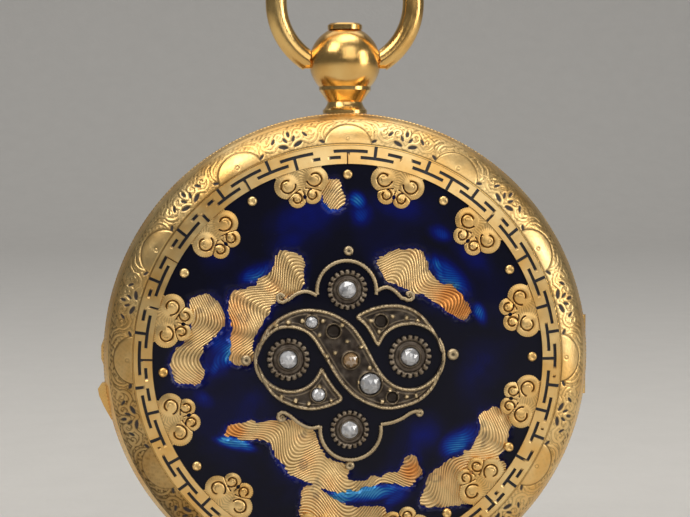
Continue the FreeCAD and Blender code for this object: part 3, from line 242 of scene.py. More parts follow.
def turned(profile, around=24):
    """Points and faces of a profile, (radius, height) from the axis at the top to the axis at the bottom."""
    rows = len(profile) - 2
    points = [(r * math.cos(t), r * math.sin(t), h) for t in circle(around) for r, h in profile[1:-1]]
    faces = [f[::-1] for f in grid_faces(around, rows)]
    top, bottom = len(points), len(points) + 1
    points += [(0, 0, profile[0][1]), (0, 0, profile[-1][1])]
    for i in range(around):
        here, following = i * rows, (i + 1) % around * rows
        faces += [[top, here, following], [bottom, following + rows - 1, here + rows - 1]]
    return np.array(points), faces


def joined(parts):
    """Several (points, faces) as one."""
    points, faces, count = [], [], 0
    for more, quads in parts:
        points.append(more)
        faces += [[n + count for n in f] for f in quads]
        count += len(more)
    return np.vstack(points), faces


def cut_sheet(inside, low, high, spacing):
    """A grid over a box, trimmed along inside(x, y) = 0: x, y and faces of the part above it."""
    xs = np.arange(low[0], high[0] + spacing, spacing)
    ys = np.arange(low[1], high[1] + spacing, spacing)
    gx, gy = np.meshgrid(xs, ys, indexing="ij")
    level = inside(gx.ravel(), gy.ravel()).reshape(gx.shape)
    kept = level > 0
    number = np.full(gx.shape, -1)
    number[kept] = np.arange(kept.sum())
    x, y = list(gx[kept]), list(gy[kept])
    corners = kept[:-1, :-1].astype(int) + kept[1:, :-1] + kept[1:, 1:] + kept[:-1, 1:]
    i, j = np.nonzero(corners == 4)
    faces = np.stack([number[i, j], number[i + 1, j], number[i + 1, j + 1], number[i, j + 1]], -1).tolist()
    crossings = {}

    def crossing(a, b):
        key = (min(a, b), max(a, b))
        if key not in crossings:
            share = level[a] / (level[a] - level[b])
            crossings[key] = len(x)
            x.append(gx[a] + share * (gx[b] - gx[a]))
            y.append(gy[a] + share * (gy[b] - gy[a]))
        return crossings[key]

    for i, j in zip(*np.nonzero((corners > 0) & (corners < 4))):
        ring = [(i, j), (i + 1, j), (i + 1, j + 1), (i, j + 1)]
        face = []
        for a, b in zip(ring, ring[1:] + ring[:1]):
            if kept[a]:
                face.append(int(number[a]))
            if kept[a] != kept[b]:
                face.append(crossing(a, b))
        faces.append(face)
    return np.array(x), np.array(y), faces


def slab(name, sheet, top, bottom, paint, crisp, marks):
    """A closed piece between a cut sheet's top and bottom heights, marked alike on both."""
    x, y, faces = sheet
    count = len(x)
    points = np.vstack([np.column_stack([x, y, top]), np.column_stack([x, y, bottom])])
    sides = set()
    for face in faces:
        for a, b in zip(face, face[1:] + face[:1]):
            if (b, a) in sides:
                sides.remove((b, a))
            else:
                sides.add((a, b))
    under = [[n + count for n in reversed(f)] for f in faces]
    walls = [[a, a + count, b + count, b] for a, b in sorted(sides)]
    doubled = {label: np.tile(values, 2) for label, values in marks.items()}
    return piece(name, points, faces + under + walls, paint, crisp, doubled)


def spaced(path):
    """How far along a line each of its points is."""
    return np.concatenate([[0], np.cumsum(np.linalg.norm(np.diff(path, axis=0), axis=1))])


def wire(path, heights, radius, around=10, cord=0.0, pitch=0.3):
    """A round wire along a flat path, with a cord's twist pressed into it and closed ends."""
    path = np.column_stack([np.array(path, float), heights])
    along = np.gradient(path, axis=0)
    along /= np.linalg.norm(along, axis=1)[:, None]
    side = np.cross(along, (0, 0, 1))
    side /= np.linalg.norm(side, axis=1)[:, None]
    up = np.cross(side, along)
    twist = 2 * math.pi * spaced(path) / pitch
    points = []
    for turn in circle(around):
        reach = radius * (1 + cord * np.cos(turn - twist))[:, None]
        points.append(path + reach * (math.cos(turn) * side + math.sin(turn) * up))
    count = len(path)
    ends = [[k * count for k in reversed(range(around))], [k * count + count - 1 for k in range(around)]]
    return np.vstack(points), grid_faces(around, count) + ends


def resampled(path, spacing):
    """The same line with points evenly spaced."""
    travelled = spaced(path)
    places = np.linspace(0, travelled[-1], max(int(travelled[-1] / spacing), 2) + 1)
    return np.column_stack([np.interp(places, travelled, values) for values in path.T])


# ---- materials


class Paint:
    """A material with one Principled shader; its nodes are added by short calls."""

    def __init__(self, name, **values):
        self.material = bpy.data.materials.new(name)
        self.material.use_nodes = True
        self.tree = self.material.node_tree
        self.skin = self.tree.nodes["Principled BSDF"]
        self.place = self.node("ShaderNodeTexCoord").outputs["Object"]
        for label, value in values.items():
            self.put(self.skin.inputs[label.replace("_", " ")], value)

    def node(self, kind, **settings):
        made = self.tree.nodes.new(kind)
        for label, value in settings.items():
            setattr(made, label, value)
        return made

    def put(self, socket, value):
        if isinstance(value, bpy.types.NodeSocket):
            self.tree.links.new(value, socket)
        elif isinstance(value, tuple) and len(value) == 3 and socket.type == "RGBA":
            socket.default_value = (*value, 1)
        else:
            socket.default_value = value

    def noise(self, size, detail=3, stretch=None, distortion=0.0):
        """Noise from 0 to 1 with bumps about size mm across."""
        made = self.node("ShaderNodeTexNoise")
        made.inputs["Scale"].default_value = 1000 / size
        made.inputs["Detail"].default_value = detail
        made.inputs["Distortion"].default_value = distortion
        place = self.place
        if stretch:
            mapping = self.node("ShaderNodeMapping")
            mapping.inputs["Scale"].default_value = stretch
            self.put(mapping.inputs["Vector"], self.place)
            place = mapping.outputs["Vector"]
        self.put(made.inputs["Vector"], place)
        return made.outputs["Fac"]

    def math(self, work, a, b=0.0, c=0.0):
        made = self.node("ShaderNodeMath", operation=work)
        for socket, value in zip(made.inputs, (a, b, c)):
            self.put(socket, value)
        return made.outputs[0]

    def between(self, value, low, high, to_low, to_high):
        """value from low..high turned into to_low..to_high, held at the ends."""
        made = self.node("ShaderNodeMapRange")
        labels = ("Value", "From Min", "From Max", "To Min", "To Max")
        for label, x in zip(labels, (value, low, high, to_low, to_high)):
            self.put(made.inputs[label], x)
        return made.outputs["Result"]

    def patches(self, size, detail, low, high, to_low=0, to_high=1, **shape):
        """Noise with its middle, low..high, spread over to_low..to_high."""
        return self.between(self.noise(size, detail, **shape), low, high, to_low, to_high)

    def plus(self, a, b):
        return self.math("ADD", a, b)

    def times(self, a, b):
        return self.math("MULTIPLY", a, b)

    def turned_lines(self):
        """The engine turning's lines, 0 to 1."""
        return self.math("MULTIPLY_ADD", self.math("SINE", self.mark("phase")), 0.5, 0.5)

    def mark(self, name):
        """A number that the mesh carries at each point."""
        return self.node("ShaderNodeAttribute", attribute_name=name).outputs["Fac"]

    def mix(self, share, a, b):
        made = self.node("ShaderNodeMix", data_type="RGBA")
        self.put(made.inputs["Factor"], share)
        self.put(made.inputs[6], a)
        self.put(made.inputs[7], b)
        return made.outputs[2]

    def bump(self, height, distance):
        """Small relief from a height of 0 to 1, distance in mm."""
        made = self.node("ShaderNodeBump")
        made.inputs["Distance"].default_value = distance / 1000
        self.put(made.inputs["Height"], height)
        self.put(self.skin.inputs["Normal"], made.outputs["Normal"])

    def finished(self, colour, **others):
        """The material, with its colour and other inputs of the shader set."""
        for label, value in {"Base_Color": colour, **others}.items():
            self.put(self.skin.inputs[label.replace("_", " ")], value)
        return self.material


def gold_paint(name, colour, deep, rough, scratch=0.01, matt=0.0):
    """Gold that drifts in colour, with fine scratches, and dirt, painted shade and enamel where the mesh
    marks them.
    """
    paint = Paint(name, Metallic=1.0)
    base = paint.mix(paint.patches(2.6, 4, 0.35, 0.65), colour, deep)
    fine = paint.noise(0.35, 4)
    base = paint.mix(paint.between(fine, 0.62, 0.75, 0, 0.5), base, deep)
    # the mesh's darkening mark: dirt, and on the engraved rim also painted shade towards the lower left
    dirt_and_shade = paint.times(paint.mark("dirt_and_shade"), paint.between(fine, 0.2, 0.7, 1.0, 0.75))
    base = paint.mix(dirt_and_shade, base, (0.045, 0.022, 0.006))
    fill = paint.mark("fill")
    base = paint.mix(fill, base, (0.006, 0.006, 0.014))
    scratches = paint.times(paint.noise(0.5, 2, stretch=(7.0, 1.0, 0.6)), 1 - matt)
    paint.bump(paint.plus(scratches, paint.times(paint.noise(0.09, 2), matt)), scratch)
    roughness = paint.plus(paint.patches(0.8, 5, 0.3, 0.7, *rough), paint.times(dirt_and_shade, 0.25))
    return paint.finished(base, Roughness=roughness, Metallic=paint.math("SUBTRACT", 1.0, fill))


ENAMEL_DEPTHS = [
    (0.0, (0.0014, 0.0016, 0.009)),
    (0.2, (0.0014, 0.0021, 0.028)),
    (0.45, (0.0016, 0.0045, 0.105)),
    (0.7, (0.003, 0.027, 0.26)),
    (0.88, (0.006, 0.10, 0.38)),
    (1.0, (0.045, 0.24, 0.48)),
]


def enamel_paint():
    """Translucent blue enamel over engine-turned gold: navy where thick, azure where it thins to an edge."""
    paint = Paint("enamel", Coat_Weight=0.4, Coat_Roughness=0.03, Coat_IOR=1.33, Specular_IOR_Level=0.08)
    thin = paint.mark("thin")
    drift = paint.patches(5.5, 3, 0.38, 0.68, distortion=0.6)
    depth = paint.math("SUBTRACT", paint.plus(thin, paint.times(drift, 0.2)), paint.mark("dark"))
    glow = paint.times(paint.turned_lines(), paint.between(depth, 0.5, 1.0, 0.03, 0.3))
    depth = paint.plus(depth, paint.math("SUBTRACT", glow, 0.03))
    ramp = paint.node("ShaderNodeValToRGB")
    points = ramp.color_ramp.elements
    while len(points) < len(ENAMEL_DEPTHS):
        points.new(0.5)
    for point, (where, colour) in zip(points, ENAMEL_DEPTHS):
        point.position = where
        point.color = (*colour, 1)
    paint.put(ramp.inputs["Fac"], depth)
    scuff = paint.patches(0.5, 6, 0.68, 0.8, 0, 0.1, stretch=(1.0, 1.0, 4.0))
    paint.bump(paint.noise(1.1, 3), 0.01)
    return paint.finished(
        paint.mix(scuff, ramp.outputs["Color"], (0.10, 0.11, 0.16)),
        Metallic=paint.between(depth, 0.2, 0.9, 0.0, 0.6),
        Roughness=paint.between(thin, 0, 1, 0.45, 0.35),
    )


def ground_paint():
    """The engine-turned gold laid bare where the enamel has broken away."""
    paint = Paint("engine_turned_gold", Metallic=1.0)
    lines = paint.turned_lines()
    warm = paint.plus(paint.mark("warm"), paint.patches(1.4, 4, 0.5, 0.8, 0, 0.5))
    # painted shade: bright is the gold on the ridges of the engine turning and deep the darker colour painted
    # down in its grooves; in faded patches the grooves keep the bright colour
    bright = paint.mix(warm, (0.84, 0.60, 0.29), (0.85, 0.36, 0.10))
    deep = paint.mix(warm, (0.36, 0.22, 0.085), (0.26, 0.07, 0.015))
    faded = paint.patches(1.9, 3, 0.4, 0.6, 0.75, 0.1)
    base = paint.mix(paint.math("MAXIMUM", paint.between(lines, 0.15, 0.75, 0, 1), faded), deep, bright)
    stain = paint.times(paint.mark("stain"), paint.between(lines, 0, 1, 1.0, 0.55))
    paint.bump(paint.plus(lines, paint.times(paint.noise(0.12, 3), 0.3)), 0.022)
    base = paint.mix(stain, base, (0.17, 0.125, 0.085))
    return paint.finished(base, Roughness=paint.patches(0.5, 4, 0.3, 0.7, 0.3, 0.48))


def silver_paint():
    """Oxidised silver: grey-brown, dark in its hollows and gilt along worn edges."""
    paint = Paint("oxidised_silver", Metallic=0.9)
    base = paint.mix(paint.patches(0.6, 5, 0.35, 0.65), (0.13, 0.095, 0.07), (0.30, 0.245, 0.19))
    base = paint.mix(paint.mark("gilt"), base, (0.72, 0.56, 0.32))
    base = paint.mix(paint.mark("dirt_and_shade"), base, (0.014, 0.011, 0.011))
    paint.bump(paint.noise(0.14, 4), 0.02)
    return paint.finished(base, Roughness=paint.patches(0.3, 4, 0.3, 0.7, 0.3, 0.55))


def stone_paint(name, colour, clear):
    """A cut stone: bright, hard reflections and a little depth."""
    paint = Paint(name, IOR=2.4, Roughness=0.02, Transmission_Weight=clear)
    shade = tuple(0.45 * c for c in colour)
    return paint.finished(paint.mix(paint.patches(0.7, 2, 0.4, 0.65), colour, shade))


def glass_paint():
    """Clear glass with a few rubbed patches."""
    paint = Paint("watch_glass", Transmission_Weight=1.0, IOR=1.45)
    return paint.finished((0.98, 0.99, 0.98), Roughness=paint.patches(2.0, 4, 0.5, 0.8, 0.0, 0.06))


def dial_paint():
    """White vitreous enamel, faintly uneven, with hair cracks."""
    paint = Paint("dial_enamel", Coat_Weight=0.7, Coat_Roughness=0.05, Roughness=0.35)
    base = paint.mix(paint.patches(4.0, 4, 0.3, 0.7), (0.86, 0.85, 0.80), (0.78, 0.76, 0.69))
    cracks = paint.node("ShaderNodeTexVoronoi", feature="DISTANCE_TO_EDGE")
    cracks.inputs["Scale"].default_value = 130
    paint.put(cracks.inputs["Vector"], paint.place)
    hair = paint.between(cracks.outputs["Distance"], 0.0, 0.008, 0.25, 0)
    paint.bump(paint.noise(0.9, 3), 0.008)
    return paint.finished(paint.mix(hair, base, (0.4, 0.36, 0.3)))


def metal_paint(name, colour, deep, rough, grain, grain_size=0.12, stretch=None):
    """A plain worked metal: brushed where the noise is stretched, frosted where it isn't."""
    paint = Paint(name, Metallic=1.0)
    paint.bump(paint.noise(grain_size, 3, stretch=stretch), grain)
    base = paint.mix(paint.patches(1.8, 4, 0.35, 0.65), colour, deep)
    return paint.finished(base, Roughness=paint.patches(0.4, 4, 0.3, 0.7, *rough))


def plain_paint(name, colour, rough, speck):
    """A plain matt surface with a fine fleck."""
    paint = Paint(name, Roughness=rough)
    paint.bump(paint.noise(speck / 4, 3), speck / 60)
    return paint.finished(paint.mix(paint.noise(speck, 5), colour, tuple(0.93 * c for c in colour)))


GOLD = gold_paint("gold", (0.86, 0.58, 0.22), (0.76, 0.45, 0.14), (0.15, 0.26))
ENGRAVED = gold_paint("engraved_gold", (0.92, 0.66, 0.30), (0.84, 0.50, 0.16), (0.28, 0.40), 0.008, 0.7)
ENAMEL_BLUE = enamel_paint()
GROUND = ground_paint()
SILVER = silver_paint()
DIAMOND = stone_paint("rose_diamond", (0.95, 0.96, 1.0), 0.45)
BROWN_STONE = stone_paint("brown_stone", (0.42, 0.26, 0.12), 0.2)
RUBY = stone_paint("ruby", (0.55, 0.02, 0.08), 0.4)
GLASS = glass_paint()
DIAL_WHITE = dial_paint()
GILT = metal_paint("gilt_brass", (0.78, 0.53, 0.22), (0.66, 0.42, 0.15), (0.34, 0.48), 0.012)
STEEL = metal_paint("steel", (0.55, 0.55, 0.56), (0.42, 0.42, 0.43), (0.2, 0.34), 0.006, 0.3, (1.0, 1.0, 9.0))
BLUED = metal_paint("blued_steel", (0.03, 0.06, 0.32), (0.02, 0.03, 0.2), (0.14, 0.24), 0.003)
BLACK = plain_paint("black_enamel", (0.01, 0.01, 0.012), 0.25, 0.8)
PALE = plain_paint("pale_floor", (0.62, 0.60, 0.57), 0.7, 6.0)

PAINTS = {
    "gold_case": GOLD,
    "enamel": ENAMEL_BLUE,
    "oxidised_silver": SILVER,
    "diamond": DIAMOND,
    "crystal_glass": GLASS,
    "dial_enamel": DIAL_WHITE,
    "gilt_brass": GILT,
    "steel": STEEL,
    "blued_steel": BLUED,
    "ruby": RUBY,
}

# the slots of the new pieces' materials
SLOTS = {paint.name: slot for slot, paint in PAINTS.items()}
SLOTS |= {ENGRAVED.name: "gold_case", GROUND.name: "gold_case", BROWN_STONE.name: "diamond"}
SLOTS[BLACK.name] = "dial_enamel"


def paint_frame():
    """Every CAD node gets the material of its slot in the record."""
    for part in frame["record"]["subparts"]:
        materials = frame["nodes"][part["node"]].data.materials
        materials.clear()
        materials.append(PAINTS[part["material_slot"]])


# ---- the enamel and its losses

# the outlines of the places where the enamel has broken away
LOSSES = {
    "top": [
        (-1.7, 13.3), (-0.7, 13.1), (-0.6, 12.3), (-0.1, 11.9), (-0.2, 11.3), (-1.2, 11.0), (-1.8, 11.7),
        (-2.3, 12.2),
    ],
    "right": [
        (1.9, 7.3), (3.4, 7.9), (4.7, 8.2), (5.7, 7.9), (5.9, 6.6), (6.5, 5.6), (7.8, 5.3), (8.7, 4.4),
        (9.2, 3.5), (8.7, 2.9), (7.8, 3.2), (6.5, 4.1), (5.3, 4.8), (4.1, 5.1), (2.8, 5.6), (2.4, 6.4),
    ],
    "left": [
        (-11.6, 4.4), (-10.8, 4.9), (-9.8, 4.7), (-9.1, 3.7), (-9.1, 2.5), (-9.9, 1.5), (-10.7, 0.8),
        (-10.8, -0.2), (-10.4, -1.2), (-10.9, -1.9), (-11.9, -1.9), (-12.7, -1.4), (-13.1, -0.4),
        (-12.9, 0.6), (-12.1, 1.3), (-11.4, 2.2), (-11.4, 3.5),
    ],
    "upper": [
        (-8.8, 4.7), (-8.5, 5.2), (-7.3, 5.3), (-6.3, 6.0), (-5.6, 6.4), (-5.4, 7.6), (-4.6, 8.1),
        (-3.4, 7.8), (-3.1, 7.1), (-3.4, 6.1), (-3.3, 5.1), (-4.6, 4.7), (-5.6, 4.1), (-5.9, 3.2),
        (-6.5, 2.2), (-7.0, 1.3), (-7.0, 0.3), (-7.3, -0.4), (-8.1, -0.5), (-8.7, 0.1), (-8.7, 1.3),
        (-8.5, 2.5), (-8.8, 3.7),
    ],
    "lower": [
        (-9.4, -5.5), (-8.5, -4.8), (-7.0, -4.5), (-5.6, -4.5), (-4.1, -4.4), (-2.4, -5.0), (-2.2, -6.5),
        (-1.2, -7.4), (0.0, -7.6), (0.1, -8.2), (-0.1, -9.1), (1.9, -8.7), (3.4, -8.4), (4.1, -7.4),
        (4.7, -7.0), (5.2, -7.7), (5.5, -8.2), (4.8, -9.4), (3.9, -9.5), (2.7, -9.0), (0.9, -9.6),
        (-0.6, -9.9), (-2.2, -9.3), (-3.6, -8.7), (-4.6, -8.2), (-5.3, -7.0), (-6.1, -5.8), (-7.3, -5.8),
        (-8.5, -5.8),
    ],
    "foot": [
        (-3.5, -9.2), (-2.2, -9.5), (-0.8, -10.4), (0.6, -10.9), (2.0, -10.7), (2.9, -11.1), (2.6, -12.2),
        (0.1, -12.9), (-2.3, -12.8), (-3.7, -11.9),
    ],
    "corner": [
        (9.6, -4.1), (10.9, -3.6), (11.9, -4.1), (12.1, -5.3), (11.6, -6.5), (10.9, -7.4), (11.9, -7.9),
        (11.1, -9.4), (9.4, -10.7), (5.1, -11.1), (5.3, -10.1), (6.1, -8.4), (7.5, -7.4), (9.0, -6.7),
        (9.7, -5.3),
    ],
}
# where the enamel has only worn thin: centre, half width, half height, tilt in degrees and how thin
WORN = [
    (6.7, 9.2, 1.4, 0.9, -25, 0.55),
    (0.7, 11.6, 0.9, 1.2, 30, 0.66),
    (0.9, 10.6, 1.5, 1.4, 40, 0.4),
    (-6.9, 6.4, 2.0, 1.0, 30, 0.42),
    (-9.4, 0.3, 1.5, 2.4, -20, 0.5),
    (-9.6, -0.1, 0.7, 1.7, -15, 0.7),
    (7.4, 6.3, 1.3, 2.9, 48, 0.6),
    (6.6, 6.7, 0.6, 1.8, 20, 0.72),
    (9.7, 3.3, 0.7, 1.3, 20, 0.55),
    (-8.2, -6.2, 2.4, 0.6, -15, 0.6),
    (1.3, -9.9, 4.4, 0.8, 5, 0.74),
    (3.6, -10.2, 1.6, 0.8, 20, 0.5),
    (7.9, -6.0, 1.3, 2.4, -55, 0.6),
    (-10.6, -2.8, 1.2, 0.8, -30, 0.3),
    (-3.0, 10.3, 4.5, 2.0, 10, 0.28),
    (-4.0, 9.0, 3.0, 1.2, 25, 0.2),
    (3.8, 11.2, 3.4, 1.6, -15, 0.3),
    (9.0, 7.6, 2.6, 1.6, -50, 0.3),
    (9.5, -0.8, 3.0, 2.4, 70, 0.24),
    (-9.6, 8.0, 2.6, 1.6, 50, 0.25),
    (5.6, -5.6, 2.2, 2.6, -30, 0.26),
    (-6.5, -2.6, 2.5, 1.2, 40, 0.16),
]
# where it lies deep and dark behind the motif: centre, half width and half height
MOTIF_SHADE = [(0, 0, 9.0, 6.5), (0, 5.1, 4.2, 4.2), (0, -5.1, 4.2, 4.2)]
WAVE_PITCH = 0.25
WAVE_LOBES = 12
WAVE_SWING = 0.1
BROKEN = 0.32
SERRATION = 0.05
ENAMEL_STEP = 0.12
GROUND_STEP = 0.05


def engine_turned(x, y):
    """The phase of the engine turning, wavy rings about the centre."""
    radius, bearing = np.hypot(x, y), np.arctan2(y, x)
    swing = WAVE_SWING * radius * np.cos(WAVE_LOBES * bearing)
    return 2 * math.pi * (radius - swing) / WAVE_PITCH


def loss_depth(x, y):
    """How far inside the nearest loss each place is, with a broken edge."""
    deepest = np.full(np.shape(x), -1e9)
    for outline in LOSSES.values():
        deepest = np.maximum(deepest, depth_in(rounded(outline), x, y))
    rough = cloud(x, y, 0.6, 1) - 0.5 + 0.5 * (cloud(x, y, 0.26, 2) - 0.5)
    return deepest + BROKEN * rough + SERRATION * np.sin(engine_turned(x, y))


def oval(x, y, centre_x, centre_y, half_width, half_height, tilt):
    """1 at the middle of a tilted oval, 0 at its edge and outside."""
    c, s = math.cos(math.radians(tilt)), math.sin(math.radians(tilt))
    u = ((x - centre_x) * c + (y - centre_y) * s) / half_width
    v = ((y - centre_y) * c - (x - centre_x) * s) / half_height
    return 1 - step(0.1, 1.0, np.hypot(u, v))


def build_enamel():
    """The enamel field, broken out at the losses and thin where it is worn."""
    x, y, faces = cut_sheet(
        lambda x, y: np.minimum(-loss_depth(x, y), FIELD - 0.02 - np.hypot(x, y)),
        (-FIELD, -FIELD),
        (FIELD, FIELD),
        ENAMEL_STEP,
    )
    away = -loss_depth(x, y)
    thin = np.zeros(len(x))
    for centre_x, centre_y, half_width, half_height, tilt, strength in WORN:
        patch = oval(x, y, centre_x, centre_y, half_width, half_height, tilt)
        thin = np.maximum(thin, strength * patch * (0.75 + 0.5 * cloud(x, y, 0.8, 5)))
    near_worn = step(0.02, 0.4, thin)
    halo = 0.12 + 0.3 * cloud(x, y, 1.6, 3) + 0.5 * near_worn * cloud(x, y, 1.1, 7)
    edge_glow = (0.42 + 0.5 * near_worn) * np.exp(-np.maximum(away, 0) / halo)
    thin = np.clip(thin + (1 - thin) * edge_glow, 0, 1)
    behind = sum(oval(x, y, *place, 0) for place in MOTIF_SHADE)
    dark = 0.35 * np.clip(behind, 0, 1) + 0.12 * step(11.2, 13.8, np.hypot(x, y)) * (1 - thin)
    chip = 0.2 * (1 - step(0.0, 0.3, away))
    top, bottom = dome(x, y) - chip, dome(x, y) - ENAMEL + 0.03
    marks = {"thin": thin, "dark": dark, "phase": engine_turned(x, y)}
    made = slab("enamel_field", (x, y, faces), top, bottom, ENAMEL_BLUE, 30, marks)
    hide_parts("back_enamel")


def build_grounds():
    """The bared gold in each loss, a little wider than the loss so that the enamel laps over it."""
    lap = 0.25
    for name, outline in LOSSES.items():
        ring = rounded(outline)
        x, y, faces = cut_sheet(
            lambda x, y: np.minimum(depth_in(ring, x, y) + lap, FIELD - 0.1 - np.hypot(x, y)),
            ring.min(0) - lap,
            ring.max(0) + lap,
            GROUND_STEP,
        )
        phase = engine_turned(x, y)
        floor = dome(x, y) - ENAMEL
        top = floor + 0.08 + 0.02 * np.sin(phase)
        warm = 1.4 * oval(x, y, 7.9, 4.2, 2.6, 1.9, -35) + 0.6 * oval(x, y, -8.4, 2.2, 1.4, 3.6, 0)
        warm += 0.9 * oval(x, y, 4.7, -8.2, 1.3, 1.5, 0) + 1.2 * oval(x, y, -8.4, -5.2, 1.4, 1.0, 0)
        stain = step(0.66, 0.8, cloud(x, y, 1.1, 8)) * step(0.35, 0.6, cloud(x, y, 0.4, 9))
        marks = {"phase": phase, "warm": np.clip(warm, 0, 1), "stain": 0.6 * stain}
        slab(f"bared_gold_{name}", (x, y, faces), top, floor - 0.05, GROUND, 60, marks)


# ---- the gold T fret round the field

FRET_UNITS = 24
FRET_START = 90.0
FRET_INNER = FIELD - 0.06
FRET_WIDTH = 1.42
FRET_RISE = 0.13
# rows of the fret from its inner edge outwards, and the places along one unit where something starts or ends
INNER_ROW = (0.40, 0.62)
OUTER_ROW = (0.86, 1.08)
BETWEEN_ROWS = 0.7
STEM_HALF = 0.11
BAR_BACK = 1.05
BAR_FORWARD = 1.4
WALL = 0.012
# where its inner lip ends and its outer lip starts
FRET_LIPS = (0.02, FRET_WIDTH - 0.04)
FRET_CELL = 0.62
RUBBED_SHARE = 0.17


def cover_height(radius):
    """The height of the cover between the field and the shoulder."""
    share = (radius - FIELD) / (BAND - FIELD)
    return FIELD_EDGE + share * (BAND_HEIGHT - FIELD_EDGE)


def in_fret_groove(along, across, unit, pitch):
    """Whether a place in the fret is sunk: two interlocking T shapes to each unit."""
    half = pitch / 2
    for shift in (-pitch, 0, pitch):
        first, second = along - shift, along - shift - half
        bar = -BAR_BACK < first < BAR_FORWARD and OUTER_ROW[0] < across < OUTER_ROW[1]
        stem = abs(first) < STEM_HALF and across < OUTER_ROW[1]
        other_bar = -BAR_BACK < second < BAR_FORWARD and INNER_ROW[0] < across < INNER_ROW[1]
        other_stem = abs(second) < STEM_HALF and across > INNER_ROW[0]
        if bar or stem or other_bar or other_stem:
            return not rubbed(along, across, unit)
    return False


def rubbed(along, across, unit):
    """Whether gold has been rubbed over the groove here."""
    row = 1 if across > BETWEEN_ROWS else 0
    cell = math.floor(along / FRET_CELL)
    return float(chance(unit * 7 + cell, row, 31)) < RUBBED_SHARE


def build_fret():
    """The raised band round the field, a grid whose lines follow the edges of its grooves."""
    middle = FRET_INNER + FRET_WIDTH / 2
    pitch = 2 * math.pi * middle / FRET_UNITS
    half = pitch / 2
    edges = []
    for shift in (-pitch, 0, pitch):
        for at in (-BAR_BACK, BAR_FORWARD, -STEM_HALF, STEM_HALF):
            edges += [at + shift, at + shift + half]
    lines = [e + side for e in edges for side in (-WALL, WALL)] + list(np.arange(0, pitch, 0.2))
    lines = sorted({round(v, 4) for v in lines if 0 <= v < pitch})
    rows = [0.0, FRET_WIDTH]
    for at in (*FRET_LIPS, *INNER_ROW, *OUTER_ROW):
        rows += [at - WALL, at + WALL]
    rows = sorted({round(v, 4) for v in rows})
    points, fill, dirt_and_shade = [], [], []
    for unit in range(FRET_UNITS):
        for along in lines:
            bearing = math.radians(FRET_START) - (unit * pitch + along) / middle
            for across in rows:
                radius = FRET_INNER + across
                sunk = in_fret_groove(along, across, unit, pitch)
                rim = not FRET_LIPS[0] <= across <= FRET_LIPS[1]
                height = cover_height(radius) + 0.02 + (0 if rim or sunk else FRET_RISE)
                points.append((radius * math.cos(bearing), radius * math.sin(bearing), height))
                fill.append(1.0 if sunk or rim and across < 0.1 else 0.0)
                dirt_and_shade.append(0.8 if rim else 0.0)
    count = FRET_UNITS * len(lines)
    piece("fret", points, grid_faces(count, len(rows)), ENGRAVED, 30, {"fill": fill, "dirt_and_shade": dirt_and_shade})


# ---- the engraved rim


def rim_lines():
    """Raised scrollwork of half a thirty-degree field: lines in (tangent, radius) and half widths."""
    return [
        (arc((0.66, 16.86), 0.42, -70, 250, 24, 0.13), 0.085),
        (curve([(0.06, 15.95), (0.42, 16.35), (0.95, 16.38), (1.35, 16.12)]), 0.09),
        (curve([(1.35, 16.12), (1.75, 16.25), (2.05, 16.62), (1.95, 17.0), (1.62, 17.12)]), 0.085),
        (arc((1.66, 16.82), 0.26, 90, -170, 18, 0.1), 0.07),
        (curve([(0.02, 16.55), (0.18, 16.95), (0.12, 17.3)]), 0.08),
        (curve([(2.1, 16.9), (2.5, 17.3), (3.2, 17.45), (4.2, 17.5)]), 0.07),
        (curve([(2.55, 16.0), (2.45, 16.5), (2.75, 17.05), (3.4, 17.35)]), 0.07),
    ]


RIM_AROUND = 1860
RIM_ACROSS = 64
RIM_FIELDS = 12
# the matting's dashes: their slope, their spacing along and across it, and the radius where it holds
DASH_SLOPE = 0.62
DASH_PITCH = (0.3, 0.15)
DASH_RADIUS = 16.6
# a lunette's base radius, half width and height
LUNETTE = (15.76, 1.74, 1.4)
# where grime gathers, in degrees
# the bearing, in degrees, towards which the rim is painted darker: painted shade on the lower left, away from
# the light
SHADED_BEARING = 222
# nicks cut down to the dark: tangent, radius, half width, half height and tilt in degrees
NICKS = [
    (0.55, 16.16, 0.50, 0.20, 20),
    (0.0, 16.97, 0.17, 0.30, 0),
    (0.32, 16.6, 0.32, 0.14, 60),
    (1.2, 16.75, 0.15, 0.32, 40),
    (2.3, 16.02, 0.32, 0.16, -30),
]


